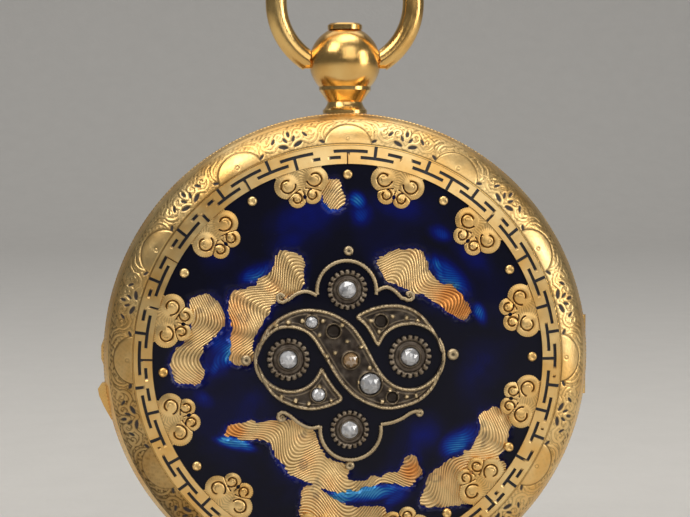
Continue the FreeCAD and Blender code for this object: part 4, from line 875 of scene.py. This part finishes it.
def rim_relief(bearing, radius, travelled):
    """The rim's lift, its dirt with painted shade, and pits: lunettes, leaves and nicks on a matted ground,
    twelve times round.
    """
    sector = 2 * math.pi / RIM_FIELDS
    local = (bearing + sector / 2) % sector - sector / 2
    from_lunette = np.abs(local) * radius
    from_middle = (sector / 2 - np.abs(local)) * radius
    # the matted ground: short oblique dashes
    run, cos, sin = bearing * DASH_RADIUS, math.cos(DASH_SLOPE), math.sin(DASH_SLOPE)
    u = (run * cos + travelled * sin) / DASH_PITCH[0]
    v = (travelled * cos - run * sin) / DASH_PITCH[1]
    i, j = np.floor(u), np.floor(v)
    dash = 1 - step(0.2, 0.5, np.hypot(u - i - 0.5, 0.9 * (v - j - 0.5)))
    dash *= (chance(i, j, 4) > 0.35) * (0.4 + 0.6 * chance(i, j, 6))
    # leaves and scrolls, left smooth between engraved outlines
    leaf, outline = np.zeros(len(bearing)), np.zeros(len(bearing))
    for path, half_width in rim_lines():
        near = from_line(path, from_middle, radius)
        leaf = np.maximum(leaf, 1 - step(half_width, 1.5 * half_width, near))
        outline = np.maximum(outline, ridge(near - 1.5 * half_width, 0.13))
    base, half_long, half_tall = LUNETTE
    within = np.hypot(from_lunette / half_long, (radius - base) / half_tall)
    outside = (within > 1) | (radius < base)
    outer = step(16.9, 17.3, radius)
    leaf *= outside * (1 - step(17.2, 17.5, radius))
    outline *= outside * (1 - leaf) * (1 - step(17.2, 17.5, radius))
    line = ridge((within - 1) * half_tall, 0.2) * (radius > base)
    line = np.maximum(line, 0.7 * ridge(np.hypot(from_lunette, radius - 16.12) - 0.13, 0.13))
    line = np.maximum(line, 0.8 * ridge(radius - BAND - 0.05, 0.07))
    pit = np.zeros(len(bearing))
    for along, out, half_width, half_height, tilt in NICKS:
        nick = oval(from_middle, radius, along, out, half_width, half_height, tilt)
        pit = np.maximum(pit, outside * step(0.05, 0.45, nick))
    line = np.maximum(line, pit)
    ground = outside * dash * (1 - leaf)
    lift = 0.056 + 0.012 * leaf - 0.02 * ground - 0.004 * dash * ~outside - 0.05 * line - 0.025 * outline
    lift = np.maximum(lift, 0.006)
    dirt_and_shade = np.maximum(ground * (0.6 + 0.3 * outer), 0.12 * dash * ~outside)
    dirt_and_shade = np.maximum(dirt_and_shade, 0.6 * outline) + 0.1 * outer
    # painted shade: the rim is painted darker towards the lower left, where the light falls least, and this
    # is added to its dirt
    shade = np.clip(np.cos(bearing - math.radians(SHADED_BEARING)), 0, 1) ** 4
    dirt_and_shade = np.maximum(dirt_and_shade * (1 + 0.4 * shade) + 0.07 + 0.6 * shade, line)
    # a plain bevel before the corded edge
    bevel = step(2.25, 2.4, travelled)
    lift = lift * (1 - bevel) + 0.04 * bevel * (1 - step(2.75, 2.85, travelled))
    dirt_and_shade = dirt_and_shade * (1 - 0.85 * bevel) + 0.45 * ridge(travelled - 2.3, 0.1)
    return lift, np.clip(dirt_and_shade * (0.65 + 0.5 * cloud(bearing * 16, radius, 2.2, 12)), 0, 1), 0.9 * pit


def build_rim():
    """The engraved skin over the cover's shoulder, just clear of the cover itself."""
    bearing, lean = pairs(circle(RIM_AROUND), np.linspace(SHOULDER_FROM, SHOULDER_TO, RIM_ACROSS))
    radius = SHOULDER_CENTRE[0] + SHOULDER_RADIUS * np.cos(lean)
    height = SHOULDER_CENTRE[1] + SHOULDER_RADIUS * np.sin(lean)
    lift, dirt_and_shade, pit = rim_relief(bearing, radius, SHOULDER_RADIUS * (SHOULDER_FROM - lean))
    lift[np.isin(np.arange(len(lift)) % RIM_ACROSS, (0, RIM_ACROSS - 1))] = -0.05
    points = round_axis(radius + lift * np.cos(lean), bearing, height + lift * np.sin(lean))
    faces = grid_faces(RIM_AROUND, RIM_ACROSS)
    piece("engraved_rim", points, faces, ENGRAVED, 50, {"dirt_and_shade": dirt_and_shade, "fill": pit})


CORD_REACH = CASE - 0.14
CORD_HEIGHT = COVER_EDGE + 0.05
CORD_RADIUS = 0.17
CORD_STRANDS = 400


def corded_ring(name, side, body):
    """A twisted cord lying round the case, on the back's side (1) or the front's (-1)."""
    around, across = CORD_STRANDS * 6, 10
    bearing, lean = pairs(circle(around), circle(across))
    twist = np.cos(CORD_STRANDS * bearing + lean)
    thick = CORD_RADIUS * (1 + 0.07 * twist)
    height = side * CORD_HEIGHT + thick * np.sin(lean)
    points = round_axis(CORD_REACH + thick * np.cos(lean), bearing, height)
    faces = grid_faces(around, across, tube=True)
    piece(name, points, faces, ENGRAVED, 60, {"dirt_and_shade": 0.25 - 0.25 * twist}, body)


# ---- reserved gold ornaments and beads at the edge of the field

ORNAMENTS = [15.4, 44.8, 74.4, 104.9, 136.4, 167.5, 198.9, 229.0, 258.6, 288.0, 317.3, 346.3]
BEADS = [0.6, 29.0, 59.1, 90.2, 121.1, 151.9, 183.7, 215.0, 244.5, 273.5, 302.5, 331.1]
# the four lobes of an ornament: tangent, depth from the fret, outer radius and the radius of the scroll's eye
LOBES = [(-1.07, 0.96, 0.93, 0.42), (1.07, 0.96, 0.93, 0.42)]
LOBES += [(-0.57, 2.03, 0.66, 0.29), (0.57, 2.03, 0.66, 0.29)]
ORNAMENT_STEP = 0.05


def flutes(bearing, reach):
    """The fine hatching round a lobe's edge, 0 to 1."""
    return 0.5 - 0.5 * np.cos(round(38 * reach) * bearing)


def ornament_edge(along, deep):
    """Positive inside an ornament: four lobes on a root that joins the fret."""
    inside = np.full(np.shape(along), -1e9)
    for middle, down, reach, _ in LOBES:
        bearing = np.arctan2(deep - down, along - middle)
        out = np.hypot(along - middle, deep - down)
        inside = np.maximum(inside, reach - 0.02 * flutes(bearing, reach) - out)
    inside = np.maximum(inside, 0.55 - np.hypot(along, deep - 1.2))
    root = np.minimum(1.9 - np.abs(along) - 0.8 * deep, 0.7 - deep)
    hole = np.hypot(np.abs(along) - 0.02, 0.75 * (deep - 2.02)) - 0.12
    return np.minimum(np.minimum(np.maximum(inside, root), hole), deep - 0.03)


def ornament_relief(along, deep):
    """The relief and dirt of an ornament: a nautilus scroll round an eye in each lobe, and hatched edges."""
    relief = np.full(len(along), 0.06)
    dirt_and_shade = np.zeros(len(along))
    best = np.full(len(along), -1e9)
    for middle, down, reach, eye in LOBES:
        side = math.copysign(1, middle)
        out = np.hypot(along - middle, deep - down)
        bearing = np.arctan2(deep - down, side * (along - middle))
        mine = (reach - out) / reach > best
        best = np.maximum(best, (reach - out) / reach)
        wound = (bearing + (2.2 if reach > 0.8 else 0.6)) % (2 * math.pi)
        spiral = eye * (1.0 + 0.5 * np.clip(wound / 5.2, 0, 1) ** 3)
        groove = ridge(out - spiral, 0.2) * (wound < 5.4)
        inner = ridge(out - 0.45 * eye, 0.12) * step(0.4, 0.9, wound) * (wound < 3.6)
        hatch = step(0.72 * reach, 0.95 * reach, out) * flutes(bearing, reach)
        crown = 0.10 * np.clip(1 - (out / reach) ** 2, 0, 1) + 0.05 * np.clip(1 - (out / eye) ** 2, 0, 1)
        relief = np.where(mine, 0.05 + crown - 0.14 * groove - 0.05 * inner - 0.02 * hatch, relief)
        dirt_and_shade = np.where(mine, np.maximum(groove, np.maximum(0.7 * inner, 0.4 * hatch)), dirt_and_shade)
    order = np.sort(np.stack([r - np.hypot(along - m, deep - d) for m, d, r, _ in LOBES]), axis=0)
    seam = ridge(order[-1] - order[-2], 0.2) * (order[-2] > -0.08) * (deep > 1.0)
    return relief - 0.09 * seam, np.maximum(dirt_and_shade, seam)


def build_ornaments():
    """Twelve scroll ornaments that stand on the dome and join the fret."""
    along, deep, faces = cut_sheet(ornament_edge, (-2.1, 0.0), (2.1, 2.85), ORNAMENT_STEP)
    relief, dirt_and_shade = ornament_relief(along, deep)
    faces = [f[::-1] for f in faces]
    for number, bearing in enumerate(ORNAMENTS, 1):
        turn = math.radians(bearing)
        out = FIELD - deep
        x = out * math.cos(turn) - along * math.sin(turn)
        y = out * math.sin(turn) + along * math.cos(turn)
        pull = np.minimum(1, (FIELD - 0.02) / np.hypot(x, y))
        x, y = x * pull, y * pull
        top, bottom = dome(x, y) + relief, dome(x, y) - ENAMEL + 0.01
        slab(f"ornament_{number}", (x, y, faces), top, bottom, ENGRAVED, 45, {"dirt_and_shade": dirt_and_shade})


BEAD_PROFILE = [(0, 0.34), (0.2, 0.36), (0.4, 0.45), (0.65, 0.5), (0.9, 0.36), (1, 0.1), (1, -0.5), (0, -0.5)]


def ringed_bead(name, x, y, radius, paint, hollow, dirt_and_shade, gilt=0.0):
    """A bead standing on the dome, with a dimple of the radius `hollow` that holds dirt."""
    points, faces = turned([(r * radius, h * radius) for r, h in BEAD_PROFILE], 28)
    points += (x, y, float(dome(x, y)))
    inside = np.hypot(points[:, 0] - x, points[:, 1] - y) < hollow
    piece(name, points, faces, paint, 40, {"dirt_and_shade": dirt_and_shade * inside, "gilt": np.full(len(points), gilt)})


def build_beads():
    """A small bead between each two ornaments."""
    for number, bearing in enumerate(BEADS, 1):
        ringed_bead(f"field_bead_{number}", *polar(FIELD - 0.8, bearing), 0.35, ENGRAVED, 0.12, 0.35)


# ---- the motif

# the outlines of the motif's three parts
MOTIF = {
    "band": [
        (-6.8, 0.0), (-6.6, 1.2), (-6.0, 2.4), (-4.9, 3.3), (-3.6, 3.8), (-2.3, 3.8), (-1.1, 3.5),
        (0.1, 2.8), (0.9, 1.8), (1.5, 0.7), (2.0, -0.3), (2.7, -1.3), (3.5, -1.9), (4.5, -2.1), (5.4, -1.9),
        (6.3, -1.2), (6.8, -0.2), (7.0, 0.1), (6.8, -0.7), (6.4, -1.9), (5.4, -3.0), (4.1, -3.5),
        (2.7, -3.7), (1.4, -3.3), (0.2, -2.6), (-0.8, -1.5), (-1.5, -0.3), (-2.1, 0.7), (-2.7, 1.7),
        (-3.4, 2.2), (-4.4, 2.4), (-5.4, 2.2), (-6.2, 1.3), (-6.6, 0.3),
    ],
    "upper_horn": [
        (0.3, 3.2), (1.4, 3.8), (2.6, 4.1), (3.9, 4.1), (5.1, 3.6), (6.0, 2.6), (6.6, 1.6), (7.0, 0.4),
        (6.7, 0.5), (6.4, 1.7), (5.5, 2.4), (4.5, 2.6), (3.4, 2.4), (2.6, 1.8), (2.2, 0.9), (1.9, 1.2),
        (1.4, 2.2), (0.9, 2.8),
    ],
    "lower_horn": [
        (-6.7, -0.1), (-6.3, -1.6), (-5.5, -2.7), (-4.2, -3.4), (-2.8, -3.7), (-1.6, -3.5), (-0.2, -2.9),
        (-1.0, -2.0), (-1.6, -1.1), (-2.0, -0.3), (-2.4, -1.2), (-3.1, -1.9), (-4.1, -2.2), (-5.1, -2.0),
        (-6.0, -1.4), (-6.5, -0.4),
    ],
}
GRAINS = [
    (-4.4, 2.8), (-3.4, 2.9), (-1.9, 2.9), (-2.1, 1.9), (-0.1, 1.4), (-1.0, 0.6), (1.5, -0.5), (0.7, -1.6),
    (3.0, -2.1), (4.2, -2.7), (4.9, -2.6), (2.4, -3.0), (-5.3, 2.6), (-0.5, 2.6), (1.6, 2.9), (3.2, 3.2),
    (4.2, 3.1), (5.0, 2.9), (2.2, 2.1), (-2.1, -1.9), (-4.9, -2.6), (-3.9, -2.9), (-2.9, -3.1),
    (-1.3, -2.9), (0.9, 1.0), (-1.6, 0.3),
]
# stones, empty seats and rosettes: place and radius
STONES = [(-2.71, 2.81, 0.47), (1.56, -1.70, 0.83), (-2.23, -2.47, 0.53)]
DARK_STONES = [(0.14, 0.02, 0.6)]
EMPTY_SEATS = [(-1.11, 2.15, 0.5), (2.33, 2.87, 0.48), (3.17, -2.71, 0.42)]
ROSETTES = [(-4.40, 0.08, 1.6), (4.47, 0.25, 1.62), (-0.10, 5.16, 1.5), (0.06, -5.08, 1.46)]
MOTIF_STEP = 0.06
EDGE_WIRE = 0.26


def build_band(name, outline):
    """One piece of the motif: a dark floor between raised milgrain edges, with seats and grains."""
    ring = rounded(outline)
    sheet = cut_sheet(lambda x, y: depth_in(ring, x, y), ring.min(0) - 0.1, ring.max(0) + 0.1, MOTIF_STEP)
    x, y, _ = sheet
    inward = depth_in(ring, x, y)
    edge = np.clip(1 - ((inward - EDGE_WIRE / 2) / (EDGE_WIRE / 2)) ** 2, 0, 1) ** 0.5
    beads = 0.85 + 0.15 * np.cos(38 * np.hypot(x, y) + 21 * np.arctan2(y, x))
    inner = ridge(inward - 0.42, 0.16)
    rise = 0.26 + 0.20 * edge * beads + 0.05 * inner + 0.03 * cloud(x, y, 0.3, 14)
    dirt_and_shade = step(EDGE_WIRE * 0.9, EDGE_WIRE * 1.3, inward) * (0.55 + 0.4 * cloud(x, y, 0.35, 15))
    dirt_and_shade = dirt_and_shade * (1 - 0.6 * inner)
    gilt = edge * (0.35 + 0.5 * cloud(x, y, 1.5, 16)) + 0.25 * inner
    for place_x, place_y, radius in STONES + DARK_STONES + EMPTY_SEATS:
        out = np.hypot(x - place_x, y - place_y)
        collar = ridge(out - radius * 1.08, 0.24)
        rise += 0.16 * collar - 0.14 * (1 - step(radius * 0.7, radius, out))
        dirt_and_shade = np.where(out < radius, 0.85, dirt_and_shade * (1 - 0.75 * collar))
        gilt = np.maximum(gilt, 0.3 * collar)
    for place_x, place_y in GRAINS:
        out = np.hypot(x - place_x, y - place_y)
        grain = 1 - step(0.08, 0.22, out + 0.1 * (cloud(x, y, 0.2, 18) - 0.5))
        rise += 0.24 * grain
        gilt = np.maximum(gilt, grain)
        dirt_and_shade = dirt_and_shade * (1 - grain)
    marks = {"dirt_and_shade": np.clip(dirt_and_shade, 0, 1), "gilt": np.clip(gilt, 0, 1)}
    return slab(name, sheet, dome(x, y) + rise, dome(x, y) - 0.1, SILVER, 40, marks)


def rose_stone(x, y, radius, rise, seed):
    """A rose-cut stone: a ring of facets, a ring turned against it, and a low point."""
    points = [(0, 0, 0.62 * radius)]
    rings = ((0.5, 0.47, 6, 0.0), (0.86, 0.2, 6, math.pi / 6), (1.0, -0.05, 12, 0.0), (0.9, -0.3, 12, 0.0))
    for reach, height, count, twist in rings:
        for bearing in circle(count) + 0.7 * seed + twist:
            spot = (reach * math.cos(bearing), reach * math.sin(bearing), height)
            points.append(tuple(radius * v for v in spot))
    top, upper, girdle, foot, low = 0, 1, 7, 13, 25
    faces = []
    for k in range(6):
        n = (k + 1) % 6
        left, middle, right = (foot + (2 * k + i) % 12 for i in (1, 2, 3))
        faces += [[top, upper + k, upper + n], [upper + k, girdle + k, upper + n], [girdle + k, left, middle]]
        faces += [[girdle + k, middle, girdle + n, upper + n], [girdle + n, middle, right]]
    for k in range(12):
        n = (k + 1) % 12
        faces.append([foot + k, low + k, low + n, foot + n])
    faces.append([low + k for k in reversed(range(12))])
    return np.array(points) + (x, y, float(dome(x, y)) + rise), faces


def build_rosette(number, place_x, place_y, radius):
    """A rosette of petals round a bowl, with a collar for its stone."""
    around, across, petals = 240, 26, 20
    bearing, out = pairs(circle(around), np.linspace(0.02, 1, across))
    petal = np.abs(np.cos(petals / 2 * bearing))
    reach = radius * out * (1 - 0.07 * (1 - petal) ** 1.5 * step(0.7, 1.0, out))
    x, y = place_x + reach * np.cos(bearing), place_y + reach * np.sin(bearing)
    crown = np.clip(1 - ((out - 0.86) / 0.14) ** 2, 0, 1) ** 0.5
    rise = 0.14 + 0.16 * crown * (0.3 + 0.7 * petal) - 0.05 * ridge(out - 0.7, 0.08)
    rise += 0.22 * ridge(out - 0.47, 0.16) - 0.08 * (1 - step(0.3, 0.42, out))
    rise = np.where(out > 0.985, -0.1, rise)
    dirt_and_shade = 0.95 * (1 - petal) ** 1.1 * step(0.78, 0.86, out) + 0.45 * ridge(out - 0.7, 0.07)
    dirt_and_shade += 0.3 + 0.3 * cloud(x, y, 0.3, 17) - 0.3 * crown * petal
    dirt_and_shade = np.maximum(dirt_and_shade, 0.9 * (1 - step(0.3, 0.42, out)))
    gilt = 0.15 * crown * petal + 0.2 * ridge(out - 0.47, 0.12)
    points = np.column_stack([x, y, dome(x, y) + rise])
    faces = grid_faces(around, across)
    faces.append([i * across for i in range(around)])
    faces.append([i * across + across - 1 for i in reversed(range(around))])
    marks = {"dirt_and_shade": np.clip(dirt_and_shade, 0, 1), "gilt": gilt}
    return piece(f"rosette_{number}", points, faces, SILVER, 45, marks)


def curl(points, centre, radius, way):
    """A scroll wire through the points that ends in a curl round a centre."""
    path = curve(points)
    across, up = path[-1] - centre
    start, first = math.degrees(math.atan2(up, across)), math.hypot(across, up)
    return np.vstack([path, arc(centre, min(first, radius), start, start + way * 330, 30, 0.16)[1:]])


# the scroll wires' runs, and every wire's line
UPPER_LEFT = [(-2.33, 4.74), (-3.0, 5.02), (-3.72, 4.9), (-4.4, 4.42)]
UPPER_RIGHT = [(2.0, 5.06), (2.69, 5.32), (3.28, 5.1), (3.9, 4.5)]
LOWER_LEFT = [(-2.12, -4.86), (-2.88, -4.94), (-3.6, -4.6), (-4.4, -3.95)]
LOWER_RIGHT = [(2.36, -4.72), (3.17, -4.58), (3.88, -4.3), (4.5, -3.9), (5.0, -3.75), (5.2, -3.85)]
RING_WIRES = {
    "ring_wire_top": arc((-0.15, 5.1), 2.16, -8, 188, 60),
    "ring_wire_bottom": arc((0.14, -5.1), 2.22, 172, 368, 60),
    "scroll_wire_upper_left": curl(UPPER_LEFT, (-4.9, 4.62), 0.42, -1),
    "scroll_wire_upper_right": curl(UPPER_RIGHT, (4.42, 4.72), 0.4, 1),
    "scroll_wire_lower_left": curl(LOWER_LEFT, (-4.85, -4.16), 0.42, 1),
    "scroll_wire_lower_right": curve(LOWER_RIGHT),
    "lobe_wire_left": arc((-4.43, 0.05), 2.36, 150, 262, 40),
    "lobe_wire_right": arc((4.45, 0.22), 2.5, -62, 32, 40),
}
# the beads at the wires' ends: place and radius
MOTIF_BEADS = [(0, 7.97, 0.36), (-7.45, 0.02, 0.4), (7.64, 0.37, 0.43), (0.08, -7.75, 0.35), (5.2, -3.9, 0.3)]
MOTIF_BEADS += [(-4.9, 4.62, 0.19), (4.42, 4.72, 0.18), (-4.85, -4.16, 0.19)]


def set_stone(name, x, y, radius, rise, seed, paint):
    """A rose-cut stone in its seat; the seed turns its facets."""
    return piece(name, *rose_stone(x, y, radius, rise, seed), paint, 1)


def build_motif():
    """The silver motif in the middle: bands, rosettes, stones, wires and end beads."""
    for name, outline in MOTIF.items():
        made = build_band(f"motif_{name}", outline)
    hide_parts("motif_setting")
    for number, (x, y, radius) in enumerate(ROSETTES, 1):
        made = build_rosette(number, x, y, radius)
        set_stone(f"rosette_stone_{number}", x, y, 0.68, 0.22, number - 1, DIAMOND)
    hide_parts("motif_rosettes")
    for number, (x, y, radius) in enumerate(STONES, 1):
        made = set_stone(f"band_stone_{number}", x, y, 0.92 * radius, 0.34, number + 4, DIAMOND)
    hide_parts("diamonds")
    for number, (x, y, radius) in enumerate(DARK_STONES, 1):
        set_stone(f"dark_stone_{number}", x, y, radius, 0.26, number + 8, BROWN_STONE)
    for name, path in RING_WIRES.items():
        path = resampled(path, 0.07)
        points, faces = wire(path, dome(*path.T) + 0.14, 0.14, 12, 0.12, 0.24)
        made = piece(name, points, faces, SILVER, 50, {"gilt": np.full(len(points), 0.55)})
    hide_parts("motif_wires")
    for number, (x, y, radius) in enumerate(MOTIF_BEADS, 1):
        ringed_bead(f"motif_bead_{number}", x, y, radius, SILVER, 0.3 * radius, 0.8, 0.6)


# ---- the dial, seen from the front: x runs the other way there

NUMERAL_RADIUS = 11.6
NUMERAL_HEIGHT = 2.5
NUMERALS = ["I", "II", "III", "IIII", "V", "VI", "VII", "VIII", "IX", "X", "XI", "XII"]
MINUTE_TRACK = (13.5, 14.1)
HOUR_MARK = (13.4, 14.2)
DIAL_CIRCLES = {
    "minute_circle_inner": MINUTE_TRACK[0],
    "minute_circle_outer": MINUTE_TRACK[1],
    "numeral_circle": 10.1,
}
STROKE = 0.42
HAIR = 0.12
PRINT = 0.03


def letter(kind):
    """The strokes of one letter, as (x0, y0, x1, y1, width), and its width."""
    half = NUMERAL_HEIGHT / 2
    if kind == "I":
        return [(0, -half, 0, half, STROKE)], STROKE
    if kind == "V":
        return [(-0.45, half, 0.08, -half, STROKE), (0.62, half, 0.08, -half, HAIR)], 1.1
    return [(-0.5, half, 0.5, -half, STROKE), (0.5, half, -0.5, -half, HAIR)], 1.1


def numeral_strokes(text):
    """All the strokes of a numeral, centred, with its two serif lines."""
    gap, strokes, at = 0.2, [], 0.0
    for kind in text:
        lines, width = letter(kind)
        strokes += [(x0 + at + width / 2, y0, x1 + at + width / 2, y1, w) for x0, y0, x1, y1, w in lines]
        at += width + gap
    total, half = at - gap, NUMERAL_HEIGHT / 2
    strokes += [(-0.1, end, total + 0.1, end, HAIR) for end in (-half, half)]
    return [(x0 - total / 2, y0, x1 - total / 2, y1, w) for x0, y0, x1, y1, w in strokes]


def bar(x0, y0, x1, y1, width, level):
    """A flat printed stroke on the dial, a thin box."""
    dx, dy = x1 - x0, y1 - y0
    length = math.hypot(dx, dy)
    nx, ny = -dy / length * width / 2, dx / length * width / 2
    flat = [(x0 - nx, y0 - ny), (x1 - nx, y1 - ny), (x1 + nx, y1 + ny), (x0 + nx, y0 + ny)]
    points = [(-x, y, level) for x, y in flat] + [(-x, y, level - PRINT) for x, y in flat]
    faces = [[3, 2, 1, 0], [4, 5, 6, 7]] + [[k, (k + 1) % 4, (k + 1) % 4 + 4, k + 4] for k in range(4)]
    return np.array(points), [f[::-1] for f in faces]


def build_dial_print():
    """Numerals, the minute track and the circles, printed a hair above the dial."""
    for hour, text in enumerate(NUMERALS, 1):
        turn = math.radians(30 * hour)
        parts = []
        for x0, y0, x1, y1, width in numeral_strokes(text):
            ends = []
            for x, y in ((x0, y0), (x1, y1)):
                out = NUMERAL_RADIUS + y
                ends += [out * math.sin(turn) + x * math.cos(turn), out * math.cos(turn) - x * math.sin(turn)]
            parts.append(bar(*ends, width, DIAL_FACE))
        piece(f"numeral_{hour}", *joined(parts), BLACK, 30, body="case")
    parts = []
    for minute in range(60):
        turn = math.radians(6 * minute)
        span, width = (MINUTE_TRACK, 0.09) if minute % 5 else (HOUR_MARK, 0.28)
        ends = [r * f(turn) for r in span for f in (math.sin, math.cos)]
        parts.append(bar(*ends, width, DIAL_FACE))
    piece("minute_track", *joined(parts), BLACK, 30, body="case")
    for name, radius in DIAL_CIRCLES.items():
        path = arc((0, 0), radius, 0, 360, 181)
        piece(name, *wire(path, np.full(len(path), DIAL_FACE), 0.045, 6), BLACK, 60, body="case")


# ---- the milled middle of the case

BELT_RADIUS = 17.4
HINGE_HALF_ANGLE = 22
STEM_HALF_ANGLE = 7
RIB_PITCH = 1.25
RIB_STEPS = 8


def build_milling():
    """Fine upright ribs round the middle of the case, clear of the hinge and the pendant."""
    section = np.array([(-0.1, -1.0), (0.03, -0.98), (0.1, -0.88), (0.1, 0.88), (0.03, 0.98), (-0.1, 1.0)])
    rows = len(section)
    spans = ((HINGE_HALF_ANGLE, 90 - STEM_HALF_ANGLE), (90 + STEM_HALF_ANGLE, 360 - HINGE_HALF_ANGLE))
    for number, (start, end) in enumerate(spans, 1):
        ribs = int((end - start) / RIB_PITCH)
        turn = np.radians(np.linspace(start, end, ribs * RIB_STEPS + 1))
        rib, out = pairs(0.5 + 0.5 * np.cos(2 * math.pi * np.arange(len(turn)) / RIB_STEPS), section[:, 0])
        bearing, height = pairs(turn, section[:, 1])
        points = round_axis(BELT_RADIUS + np.minimum(out, 0.04 + 0.1 * rib), bearing, height)
        faces = grid_faces(len(turn), rows, closed=False)
        faces += [list(range(rows))[::-1], [len(points) - rows + k for k in range(rows)]]
        piece(f"milled_band_{number}", points, faces, ENGRAVED, 40, {"dirt_and_shade": 0.5 * (1 - rib)}, "case")


# ---- floor, light and camera


def build_studio():
    """A pale sweep: a floor that curves up behind the watch."""
    half, back, radius = 0.9, 0.55, 0.25
    profile = [(-0.9, 0.0), (back, 0.0)]
    for k in range(1, 13):
        lean = math.radians(90 * k / 12)
        profile.append((back + radius * math.sin(lean), radius * (1 - math.cos(lean))))
    profile.append((back + radius, 1.1))
    points = [(side, y, z) for y, z in profile for side in (-half, half)]
    faces = [[2 * k, 2 * k + 1, 2 * k + 3, 2 * k + 2] for k in range(len(profile) - 1)]
    mesh = bpy.data.meshes.new("floor")
    mesh.from_pydata(points, [], faces)
    shown("floor", mesh, PALE)


def softbox(name, place, aim, size, power, tint=(1.0, 0.97, 0.92)):
    """A rectangular lamp of a size in metres and a power in watts, aimed at a point."""
    light = bpy.data.lights.new(name, "AREA")
    light.shape = "RECTANGLE"
    light.size, light.size_y = size
    light.energy = power
    light.color = tint
    lamp = in_scene(name, light)
    lamp.location = place
    lamp.rotation_euler = (Vector(aim) - Vector(place)).to_track_quat("-Z", "Y").to_euler()


def build_light():
    """Soft boxes round the watch, and a faint even sky."""
    aim = (0, 0, 0.02)
    softbox("key", (-0.15, -0.13, 0.24), aim, (0.14, 0.14), 0.26)
    softbox("side", (0.22, -0.12, 0.09), aim, (0.1, 0.16), 0.22)
    softbox("front", (0.14, -0.58, 0.38), aim, (0.5, 0.5), 1.05)
    softbox("overhead", (0.0, 0.15, 1.0), aim, (1.2, 1.2), 5.0, (1.0, 0.99, 0.97))
    softbox("top", (0.02, -0.03, 0.3), aim, (0.2, 0.12), 0.2)
    world = bpy.data.worlds.new("studio")
    bpy.context.scene.world = world
    world.use_nodes = True
    world.node_tree.nodes["Background"].inputs["Color"].default_value = (0.95, 0.97, 1.0, 1)
    world.node_tree.nodes["Background"].inputs["Strength"].default_value = 0.14


YAW = 3.0
PITCH = 3.0
DISTANCE = 0.1426
AIM_OVER_CENTRE = 7.25
AIM_RIGHT = -0.1


def build_camera():
    """The camera where the photographer stood: square to the back, slightly to one side and above."""
    camera = bpy.data.cameras.new("camera")
    camera.lens = 100
    camera.sensor_width = 36
    camera.clip_start = 0.005
    camera.clip_end = 20
    eye = in_scene("camera", camera)
    yaw, pitch = math.radians(YAW), math.radians(PITCH)
    target = Vector((AIM_RIGHT / 1000, -COVER_EDGE / 1000, (CENTRE + AIM_OVER_CENTRE) / 1000))
    back = Vector((-math.sin(yaw) * math.cos(pitch), -math.cos(yaw) * math.cos(pitch), math.sin(pitch)))
    eye.location = target + DISTANCE * back
    eye.rotation_euler = (-back).to_track_quat("-Z", "Y").to_euler()
    bpy.context.scene.camera = eye
    bpy.context.scene.view_settings.view_transform = "Standard"


build_camera()
build_studio()
build_light()
paint_frame()
build_enamel()
build_grounds()
build_fret()
build_rim()
corded_ring("back_corded_edge", 1, "back_cover")
corded_ring("bezel_corded_edge", -1, "bezel")
build_ornaments()
build_beads()
build_motif()
build_dial_print()
build_milling()
